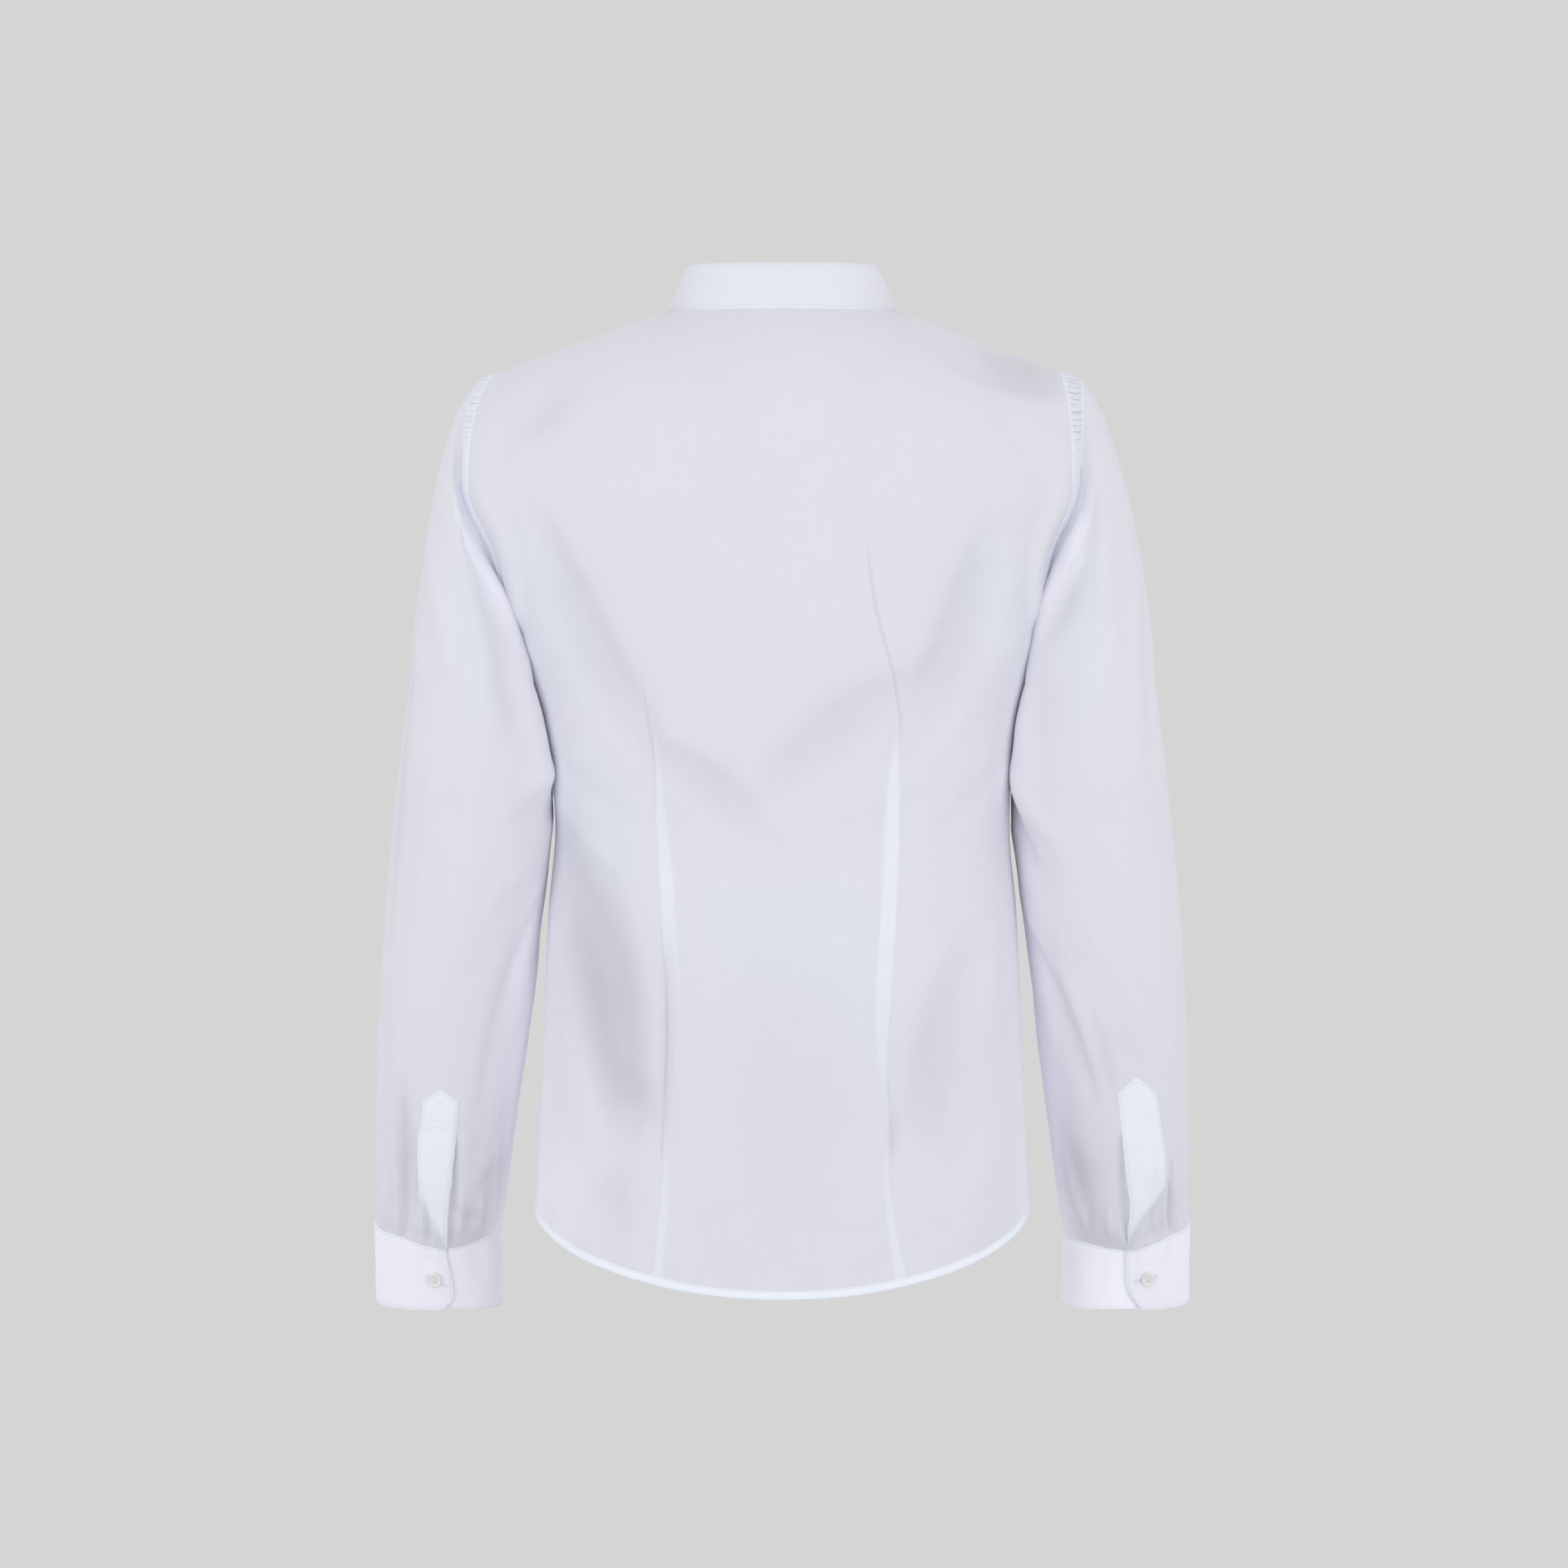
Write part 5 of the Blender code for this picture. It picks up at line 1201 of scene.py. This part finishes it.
placket_lines = []
for title, side in SIDES:
    edges, (tip_angle, tip_height), cross = PLACKETS[side]
    edges = np.array(edges)
    across = spread(0.0, 1.0, PLACKET_COLUMNS, [(0.0, 3.0, 0.05), (1.0, 3.0, 0.05)])
    down = spread(0.0, 1.0, PLACKET_ROWS, [(0.0, 5.0, 0.02)])
    across, down = np.broadcast_arrays(across[None, :], down[:, None])
    tip = (tip_angle - edges[0, 1]) / (edges[0, 2] - edges[0, 1])
    z = edges[0, 0] + (edges[-1, 0] - edges[0, 0]) * down
    outer, inner = (np.interp(-z, -edges[:, 0], edges[:, i]) for i in (1, 2))
    peak = np.minimum(across / tip, (1.0 - across) / (1.0 - tip))
    points, normals = on_sleeve(side, outer + (inner - outer) * across,
                                z + (tip_height - edges[0, 0]) * peak * (1.0 - down) ** 6)
    normals = unit(evened_both(normals, 2))
    long = np.linalg.norm(points[0, 14] - points[-1, 14])
    wide = np.linalg.norm(points[:, :1] - points[:, -1:], axis=-1)
    from_edge = np.minimum(np.minimum(across, 1.0 - across) * wide, down * long)
    below_row = down * long - (edges[0, 0] - cross)
    place = np.stack([across * 0.026, -down * long], axis=-1)
    lift = PLACKET_LIFT * (0.25 + 0.75 * smooth(from_edge / 0.0011)) + drift(place, 71, 0.00007, 0.030)
    lift -= PLACKET_SINK * hump((from_edge - PLACKET_STITCH) / 0.0007)
    lift -= PLACKET_SINK * hump(below_row / 0.0008) * smooth((from_edge - PLACKET_STITCH + 0.0006) / 0.0006)
    lift += PLACKET_OPEN * ramp(below_row, 0.002, 0.012) * ramp(across, 0.55, 0.45)
    points = evened_both(points, 1) + normals * lift[..., None]
    # Painted shade darkens the placket's lower outer corner, beside the pleats
    placket = cloth_shell("sleeve_placket_" + title + "_cloth", cotton_double, points, normals, PLACKET_WALL,
                          place, 0.85, 0.0, 0.70 * smooth((down * 1.05 - 0.60 - 0.42 * across) / 0.16))
    riding(placket, "sleeve_placket_" + title)
    top = points + normals * THREAD_SINK

    def on_placket(shares_across, shares_down):
        """Places on top of this placket, by shares across and down."""
        row = np.interp(shares_down, down[:, 0], np.arange(PLACKET_ROWS))
        place = np.interp(shares_across, across[0], np.arange(PLACKET_COLUMNS))
        r = np.minimum(row.astype(int), PLACKET_ROWS - 2)
        c = np.minimum(place.astype(int), PLACKET_COLUMNS - 2)
        v, u = (row - r)[:, None], (place - c)[:, None]
        return ((top[r, c] * (1 - u) + top[r, c + 1] * u) * (1 - v)
                + (top[r + 1, c] * (1 - u) + top[r + 1, c + 1] * u) * v)

    start = PLACKET_STITCH / long
    run = np.linspace(start, 1.0, 60)
    inset = PLACKET_STITCH / np.interp(run, down[:, 0], wide[:, 0])
    placket_lines += [on_placket(inset, run), on_placket(1.0 - inset, run)]
    for first in (inset[0], 1.0 - inset[0]):
        placket_lines.append(on_placket(np.linspace(first, tip, 20), np.full(20, start)))
    at_cross = np.full(24, (edges[0, 0] - cross) / (edges[0, 0] - edges[-1, 0]))
    placket_lines.append(on_placket(np.linspace(inset[0], 1.0 - inset[0], 24), at_cross))
stitched("placket_stitches", placket_lines)


# ------------------------------------------------------------------------------------------------
# Cuffs
# Barrel cuffs of two layers with a lining, stitched round their edges.  The overlapping end has a rounded
# lower corner and a slanted buttonhole, and it is fastened over the other end.

CUFF_HEIGHT = 0.0505
CUFF_CENTRE = 0.2338
CUFF_HALF_WIDTH = 0.0426
CUFF_HALF_DEPTH = 0.0315
CUFF_FORWARD = 0.060
CUFF_OVERLAP_SPAN = 30.0
CUFF_LAP_EASE = (16.0, 14.0)
CUFF_LAP_STEP = 0.0023
CUFF_WALL = 0.0012
CUFF_GAIN = 1.7
CUFF_STITCH = 0.0017
CUFF_CORNER = (0.0055, 0.0036)
CUFF_HANG = (0.0068, 0.0016)
CUFF_THREAD_LIFT = 0.0006
# How far round from the overlap's end the cuff passes under it, and over what length the painted light there
# comes in
CUFF_UNDER = (0.150, 0.030)
# How many degrees each overlap's edge leans, is drawn in at its top and swings under below a share of its
# height, and how much painted light brightens the cuff under it, written as a negative painted shade
CUFF_ENDS = {1.0: {"lean": 4.5, "drawn": -2.0, "swing": (0.78, -5.0), "under": -0.1},
             -1.0: {"lean": 0.0, "drawn": 1.0, "swing": (0.45, -10.5), "under": -0.6}}

# Creases on each cuff: distance from the overlap's end and below the seam, at start and end, then as before
CUFF_CREASES = {
    1.0: metres(1,
        (21, 9, 6, 19, -1, 3, -0.8, 0.3), (26, 12, 12, 24, -1, 4, 0.5, 0), (4, 6, 3, 26, 0, 1.6, -0.5, 0),
        (46, 4, 50, 30, 1, 6, -0.5, 0), (60, 8, 58, 34, 1, 6, 0.4, 0), (-16, 6, -26, 34, 1, 6, -0.7, 0),
        (-30, 4, -36, 30, 1, 5, 0.5, 0), (110, 6, 104, 36, 2, 8, -0.6, 0),
        (150, 8, 158, 40, 2, 8, 0.6, 0)),
    -1.0: metres(1,
        (35, 4, 25, 23, 1, 2.6, -0.9, 0.3), (30, 4, 21, 18, 1, 3.4, 0.6, 0), (7, 4, 6, 22, 0, 3, -0.6, 0),
        (48, 10, 44, 36, 1, 6, 0.5, 0), (58, 4, 60, 34, 1, 6, -0.5, 0), (-14, 6, -18, 30, 1, 5, -0.5, 0),
        (-34, 8, -30, 38, 1, 6, 0.5, 0), (116, 8, 110, 38, 2, 8, -0.6, 0),
        (156, 6, 150, 36, 2, 8, 0.6, 0)),
}

# Shares of the height at which rows lie, and how far the outer layer rolls over at its edges
CUFF_SHARES = np.array([0.0, 0.008, 0.017, 0.025, 0.033, 0.042, 0.055, 0.08, 0.14, 0.22, 0.31, 0.41, 0.51,
                        0.61, 0.70, 0.75, 0.79, 0.825, 0.86, 0.885, 0.91, 0.93, 0.945, 0.958, 0.967, 0.975,
                        0.983, 0.992, 1.0])[:, None]
CUFF_RIM = ((0.0, 0.008, 0.017, 0.045, 0.955, 0.983, 0.992, 1.0),
            (-0.0004, 0.0005, 0.0007, 0.0006, 0.0006, 0.0007, 0.0004, -0.0001))
CUFF_END_RIM = ((0.0, 0.0004, 0.0012), (-0.0005, -0.0001, 0.0))


def cuff_point(degrees, down, lift):
    """A point on the left cuff: angle round it, distance below its seam, and height over its form."""
    axis = unit(np.array([0.0, -CUFF_TILT, -1.0]))
    across, through = np.cos(np.radians(degrees)), np.sin(np.radians(degrees))
    facing = np.stack([across * CUFF_HALF_DEPTH, through * CUFF_HALF_WIDTH, 0.0 * across], axis=-1)
    facing = unit(facing - (facing @ axis)[..., None] * axis)
    place = np.stack([CUFF_CENTRE + CUFF_HALF_WIDTH * across, CUFF_HALF_DEPTH * through - CUFF_FORWARD,
                      CUFF_SEAM - CUFF_TILT * CUFF_HALF_DEPTH * through], axis=-1)
    return place + axis * down[..., None] + facing * lift[..., None], facing


def cuff_place(side, arc, share, lift=0.0):
    """A point on a cuff by distance from the overlap's end and share of its height, with its shape there."""
    ends = CUFF_ENDS[side]
    end = WRISTS[side]["overlap_end"]
    from_swing, swing = ends["swing"]
    bent = ends["drawn"] * (1.0 - share) ** 2 + ends["lean"] * smooth(share / 0.75)
    bent = bent + swing * np.clip((share - from_swing) / (1.0 - from_swing), 0.0, 1.0) ** 2
    degrees = end + bent * hump(arc / 0.012) - np.degrees(arc / CUFF_HALF_WIDTH)
    corner_length, corner_height = CUFF_CORNER
    round_off = corner_height * np.clip(1.0 - arc / corner_length, 0.0, 1.0) ** 1.7
    top = cuff_dip(side, degrees) * math.sqrt(1.0 + CUFF_TILT ** 2) - 0.0004
    down = top + (CUFF_HEIGHT - top) * share - round_off * np.clip(2.0 * share - 1.0, 0.0, 1.0)
    level = np.cos(np.radians(degrees))
    down = down + share * level ** 2 * (CUFF_HANG[0] - CUFF_HANG[1] * level)
    before, over = CUFF_LAP_EASE
    lapped = CUFF_LAP_STEP * smooth((degrees - (end - CUFF_OVERLAP_SPAN - before)) / over)
    place = np.stack([arc + 0.0 * down, down], axis=-1)
    once_round = np.array([math.radians(360.0) * CUFF_HALF_WIDTH, 0.0])
    rise = CUFF_GAIN * (crease_heights(CUFF_CREASES[side], place)
                        + crease_heights(CUFF_CREASES[side], place - once_round))
    rise *= smooth(arc / 0.003) * smooth(share / 0.05) * ramp(share, 1.0, -0.2)
    rise += drift(place, 81 if side > 0.0 else 87, 0.00010, 0.050)
    points, facing = cuff_point(degrees, down, lapped + rise + lift)
    mirror = np.array([side, 1.0, 1.0])
    return points * mirror, facing * mirror, place


cotton_cuff = cotton("cotton_cuff", 0.8, (0.905, 0.910, 1.000, 1.0))
cuff_end = math.radians(360.0 + CUFF_OVERLAP_SPAN) * CUFF_HALF_WIDTH
arcs = np.concatenate([0.013 * np.linspace(0.0, 1.0, 24)[:-1] ** 1.5,
                       np.linspace(0.013, cuff_end, 170)])[None, :]
inset = CUFF_STITCH / CUFF_HEIGHT
stitch_rows = hump((CUFF_SHARES - inset) / 0.013) + hump((1.0 - inset - CUFF_SHARES) / 0.013)
stitch_rows = stitch_rows + hump((arcs - CUFF_STITCH) / 0.0006) * smooth(CUFF_SHARES / 0.05)
rim = np.interp(CUFF_SHARES, *CUFF_RIM) + np.interp(arcs, *CUFF_END_RIM) - 0.00040 * stitch_rows
cuff_lines = []
for title, side in SIDES:
    points, facing, place = cuff_place(side, arcs + 0.0 * CUFF_SHARES, CUFF_SHARES + 0.0 * arcs, rim)
    # Painted light brightens the cuff's colour where it passes under the overlap
    shade = CUFF_ENDS[side]["under"] * ramp(arcs, *CUFF_UNDER) * smooth(CUFF_SHARES / 0.02)
    cuff = cloth_shell("cuff_" + title + "_cloth", cotton_cuff, points, surface_normals(points, facing),
                       CUFF_WALL, place * np.array([1.0, -1.0]), 0.90, 0.0, shade)
    riding(cuff, "cuff_" + title)
    run = np.linspace(CUFF_STITCH, cuff_end - 0.003, 400)
    for arc, share in ((run, np.full(400, inset)), (run, np.full(400, 1.0 - inset)),
                       (np.full(40, CUFF_STITCH), np.linspace(inset, 1.0 - 4.0 * inset, 40))):
        cuff_lines.append(cuff_place(side, arc, share, CUFF_THREAD_LIFT)[0])
stitched("cuff_stitches", cuff_lines)


# ------------------------------------------------------------------------------------------------
# Buttons
# Nine pearly grey shirt buttons, 10 mm across, each sewn on with crossed threads through four holes and done
# up through a buttonhole bound with thread: seven down the front and one on each cuff.

HOLE_RADIUS = 0.0005
HOLE_OFFSET = 0.00125
BUTTON_SIDES, HOLE_SIDES = 48, 12
# Radius and height of each ring, up the back to the rim and from there down into the dish
BUTTON_BACK = metres(0,
    (2.6, 0), (3.8, 0), (4.5, 0.2), (4.85, 0.6))
BUTTON_FACE = metres(0,
    (5, 1.1), (4.95, 1.6), (4.7, 2), (4.3, 2.2), (3.8, 2.1), (3.3, 1.7), (2.9, 1.45), (2.6, 1.4))
BUTTON_LIFT = 0.0005
SEWING_RADIUS, SEWING_APART = 0.00032, 0.00022
BINDING_RADIUS, BINDING_PITCH, BINDING_RISE, BAR_STEP = 0.00012, 0.00042, 0.00008, 0.00025
BUTTONHOLE_WIDTH = 0.0021
BUTTONHOLE_SLIT = 0.0006
BUTTONHOLE_LENGTHS = {"front": 0.0135, "cuff": 0.0155}
# Degrees that each front button is turned by, then each cuff button's turn and the slant of its buttonhole
FRONT_TURNS = (13.0, -8.0, 31.0, 4.0, -22.0, 17.0, -35.0)
CUFF_TURNS = {"left": (20.0, 29.0), "right": (-12.0, 6.0)}
CUFF_BUTTON_SHARE = 0.56
CUFF_BUTTON_LIFT = 0.0004
CUFF_HOLE_PAST = 0.002


def button_finish():
    """Pearly grey resin: cloudy bands and a glossy face."""
    finish = Finish("pearly_button", Roughness=0.30, Specular_IOR_Level=0.50, Coat_Weight=0.25,
                    Coat_Roughness=0.15)
    place = finish.node("ShaderNodeTexCoord", output=3)
    cloud = finish.node("ShaderNodeTexNoise", {}, {"Vector": place, "Scale": 260.0, "Detail": 3.0,
                                                   "Distortion": 1.4})
    band = finish.node("ShaderNodeTexWave", {}, {"Vector": place, "Scale": 120.0, "Distortion": 6.0,
                                                 "Detail": 2.0}, output=1)
    colour = finish.mixed(cloud, (0.74, 0.74, 0.73, 1.0), (0.88, 0.88, 0.87, 1.0))
    finish.feed("Base Color", finish.mixed(band * 0.35, colour, (0.92, 0.91, 0.90, 1.0)))
    finish.feed("Roughness", cloud * 0.18 + 0.14)
    return finish.material


def thread_tree(material):
    """Thread laid along each line."""
    net, given = geometry_net("laid_thread", ("Thread Radius",))
    line = net.node("GeometryNodeMeshToCurve", {}, {"Mesh": given["Geometry"]})
    section = net.node("GeometryNodeCurvePrimitiveCircle", {"mode": "RADIUS"},
                       {"Resolution": 6, "Radius": given["Thread Radius"]})
    thread = net.node("GeometryNodeCurveToMesh", {},
                      {"Curve": line, "Profile Curve": section, "Fill Caps": True})
    return laid_out(net, net.node("GeometryNodeSetShadeSmooth", {}, {"Geometry": thread}), material)


def make_button(node_name, place, facing, upright):
    """A round dished button with a rim and four holes, its back lying at the place given, and its threads."""
    level = unit(np.cross(upright, facing))
    upright = np.cross(facing, level)
    built = bmesh.new()

    def loop(radius, height, count, centre=(0.0, 0.0)):
        turns = 2.0 * math.pi * np.arange(count) / count
        return [built.verts.new(place + level * (centre[0] + radius * math.cos(t)) + facing * height
                                + upright * (centre[1] + radius * math.sin(t))) for t in turns]

    def wall(low, high):
        for i in range(len(low)):
            n = (i + 1) % len(low)
            built.faces.new((low[i], low[n], high[n], high[i]))

    rims = [loop(radius, height, BUTTON_SIDES) for radius, height in BUTTON_BACK + BUTTON_FACE]
    for low, high in zip(rims, rims[1:]):
        wall(low, high)
    centres = [(HOLE_OFFSET * a, HOLE_OFFSET * b) for a in (-1, 1) for b in (-1, 1)]
    holes = [[loop(HOLE_RADIUS, height, HOLE_SIDES, centre) for height in (0.0, BUTTON_FACE[-1][1])]
             for centre in centres]
    for low, high in holes:
        wall(low, high)
    for end, rim in ((0, rims[0]), (1, rims[-1])):
        edges = [built.edges.get((around[i], around[(i + 1) % len(around)]))
                 for around in [rim] + [hole[end] for hole in holes] for i in range(len(around))]
        bmesh.ops.triangle_fill(built, use_beauty=True, use_dissolve=False, edges=edges)
    bmesh.ops.recalc_face_normals(built, faces=built.faces[:])
    mesh = bpy.data.meshes.new(node_name + "_sewn")
    built.to_mesh(mesh)
    built.free()
    mesh.shade_smooth()
    mesh.set_sharp_from_angle(angle=math.radians(40.0))
    mesh.materials.append(pearly_button)
    riding(added(node_name + "_sewn", mesh), node_name)

    sewing = []
    for first, last, crossing in ((0, 3, 0.00005), (1, 2, 0.0003)):
        for beside in (-SEWING_APART, 0.0, SEWING_APART):
            (ax, ay), (bx, by) = centres[first], centres[last]
            aside = np.array([ay - by, bx - ax]) / math.hypot(bx - ax, by - ay) * beside
            over = 0.0016 + crossing
            heights = (-BUTTON_LIFT, 0.0004, 0.0012, over, over + 0.0002, over, 0.0012, 0.0004, -BUTTON_LIFT)
            along = (0.0, 0.0, 0.02, 0.14, 0.5, 0.86, 0.98, 1.0, 1.0)
            sewing.append(np.array([
                place + level * (ax + (bx - ax) * t + aside[0]) + upright * (ay + (by - ay) * t + aside[1])
                + facing * height for t, height in zip(along, heights)]))
    return sewing


def binding(sheet, centre, way, facing, length):
    """The thread that binds a buttonhole: close zigzags down both sides of its slit, a bar at each end."""
    aside = unit(np.cross(facing, way))
    count = int(length / BINDING_PITCH)
    reaches = [BUTTONHOLE_SLIT / 2.0 if i % 2 else BUTTONHOLE_WIDTH / 2.0 for i in range(count)]
    lines = [np.array([centre + way * length * (i / (count - 1) - 0.5) + aside * reach * turn
                       for i, reach in enumerate(reaches)]) for turn in (-1.0, 1.0)]
    lines += [np.array([centre + way * (length * end + BAR_STEP * (i % 2) * np.sign(end))
                        + aside * BUTTONHOLE_WIDTH * (i / 11 - 0.5) for i in range(12)])
              for end in (-0.5, 0.5)]
    tree = sheet_tree(sheet)
    laid = (laid_on(tree, line, facing) for line in lines)
    return [places + normals * BINDING_RISE for places, normals in laid]


pearly_button = button_finish()
laid_thread = thread_tree(white_thread)
threads, bindings = [], []
points, normals = fronts["right"]
line, ways = points[:, centre_line], evened(normals[:, centre_line], 3)
for number, turned in enumerate(FRONT_TURNS, 1):
    name = "front_button_%d" % number
    height = sum(corner[2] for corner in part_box(name)) / 2.0
    base, facing = (along_axes(height, line[:, 2], values) for values in (line, ways))
    facing = unit(facing * np.array([0.0, 1.0, 1.0]))
    upright = np.array([math.sin(math.radians(turned)), 0.0, math.cos(math.radians(turned))])
    threads += make_button(name, base + facing * BUTTON_LIFT, facing, upright)
    down = unit(np.cross(np.array([1.0, 0.0, 0.0]), facing))
    bindings += binding(points, base, down, facing, BUTTONHOLE_LENGTHS["front"])
for title, side in SIDES:
    turned, slant = (math.radians(value) for value in CUFF_TURNS[title])
    button_at = WRISTS[side]["button"]
    arc = math.radians(WRISTS[side]["overlap_end"] - button_at) * CUFF_HALF_WIDTH
    arcs = arc + np.linspace(-0.011, 0.011, 45)
    shares = (CUFF_BUTTON_SHARE + np.linspace(-0.25, 0.25, 41))[:, None]
    sheet = cuff_place(side, arcs + 0.0 * shares, shares + 0.0 * arcs, CUFF_THREAD_LIFT)[0]
    base, facing = (value * np.array([side, 1.0, 1.0]) for value in cuff_point(
        np.array(button_at), np.array(CUFF_BUTTON_SHARE * CUFF_HEIGHT), np.array(CUFF_LAP_STEP)))
    ahead = unit(sheet[20, 0] - sheet[20, -1])
    below = unit(sheet[-1, 22] - sheet[0, 22])
    threads += make_button("cuff_button_" + title, base + facing * (BUTTON_LIFT + CUFF_BUTTON_LIFT), facing,
                           ahead * math.sin(turned) - below * math.cos(turned))
    way = ahead * math.cos(slant) + below * math.sin(slant)
    bindings += binding(sheet, base + way * CUFF_HOLE_PAST, unit(way), facing, BUTTONHOLE_LENGTHS["cuff"])
sewn("button_threads", laid_thread, threads, "button", thread_radius=SEWING_RADIUS)
sewn("buttonholes", laid_thread, bindings, thread_radius=BINDING_RADIUS)


# ------------------------------------------------------------------------------------------------
# Studio
# A plain pale floor of the same grey as an even surround.  One broad soft light stands before the back, a
# smaller one at each side of it, and a stronger one before the front.

FLOOR_HEIGHT, FLOOR_RADIUS, FLOOR_SIDES = -0.95, 0.7, 64
SURROUND = (0.665, 0.665, 0.665, 1.0)
SURROUND_LIGHT = 0.905
VIEW_HEIGHT, VIEW_ASIDE, VIEW_AWAY = -0.3166, -0.0011, 4.5
VIEW_WIDTH = 1.051
SENSOR_WIDTH = 36.0
# Name, place, what it points at, size, power and colour of each light
SOFT_LIGHTS = (
    ("front_softbox", (0.0, 3.2, -0.4), (0.0, 0.0, -0.4), (2.2, 2.0), 6.4, (1.0, 0.985, 0.985)),
    ("left_softbox", (2.2, 2.2, -0.7), (0.0, 0.0, -0.5), (1.2, 1.4), 6.4, (0.95, 0.985, 1.0)),
    ("right_softbox", (-2.2, 2.2, -0.7), (0.0, 0.0, -0.5), (1.2, 1.4), 6.4, (0.95, 0.985, 1.0)),
    ("far_softbox", (0.0, -3.2, 0.4), (0.0, 0.0, -0.3), (2.4, 2.4), 15.0, (1.0, 0.99, 0.985)),
)

world = bpy.data.worlds.new("studio")
bpy.context.scene.world = world
world.use_nodes = True
net = Net(world.node_tree)
net.tree.nodes.clear()
seen = net.node("ShaderNodeLightPath", output="Is Camera Ray")
for title in ("Is Glossy Ray", "Is Transmission Ray"):
    seen = seen.maths("MAXIMUM", seen, net.node("ShaderNodeLightPath", output=title))
light = net.node("ShaderNodeBackground", {}, {"Color": (1.0, 1.0, 1.0, 1.0), "Strength": SURROUND_LIGHT})
grey = net.node("ShaderNodeBackground", {}, {"Color": SURROUND})
mix = net.node("ShaderNodeMixShader", {}, {0: seen, 1: light, 2: grey})
net.node("ShaderNodeOutputWorld", {}, {"Surface": mix})

for name, place, target, size, power, colour in SOFT_LIGHTS:
    lamp = bpy.data.lights.new(name, "AREA")
    lamp.shape = "RECTANGLE"
    lamp.size, lamp.size_y = size
    lamp.energy = power
    lamp.color = colour
    item = added(name, lamp)
    way = np.array(target) - np.array(place)
    item.location = place
    item.rotation_euler = (math.atan2(math.hypot(way[0], way[1]), -way[2]), 0.0,
                           math.atan2(way[1], way[0]) - math.pi / 2.0)

floor_mesh = bpy.data.meshes.new("floor")
turns = 2.0 * math.pi * np.arange(FLOOR_SIDES) / FLOOR_SIDES
floor_rim = [(FLOOR_RADIUS * math.cos(t), FLOOR_RADIUS * math.sin(t), FLOOR_HEIGHT) for t in turns]
floor_mesh.from_pydata(floor_rim, [], [tuple(range(FLOOR_SIDES))])
floor_finish = Finish("floor_paper", Roughness=0.9, Specular_IOR_Level=0.1, Base_Color=SURROUND)
floor_mesh.materials.append(floor_finish.material)
added("floor", floor_mesh)

camera = added("camera", bpy.data.cameras.new("camera"))
camera.location = (VIEW_ASIDE, VIEW_AWAY, VIEW_HEIGHT)
camera.rotation_euler = (math.radians(90.0), 0.0, math.radians(180.0))
camera.data.sensor_width = SENSOR_WIDTH
camera.data.lens = SENSOR_WIDTH * VIEW_AWAY / VIEW_WIDTH
bpy.context.scene.camera = camera
bpy.context.scene.view_settings.view_transform = "Standard"
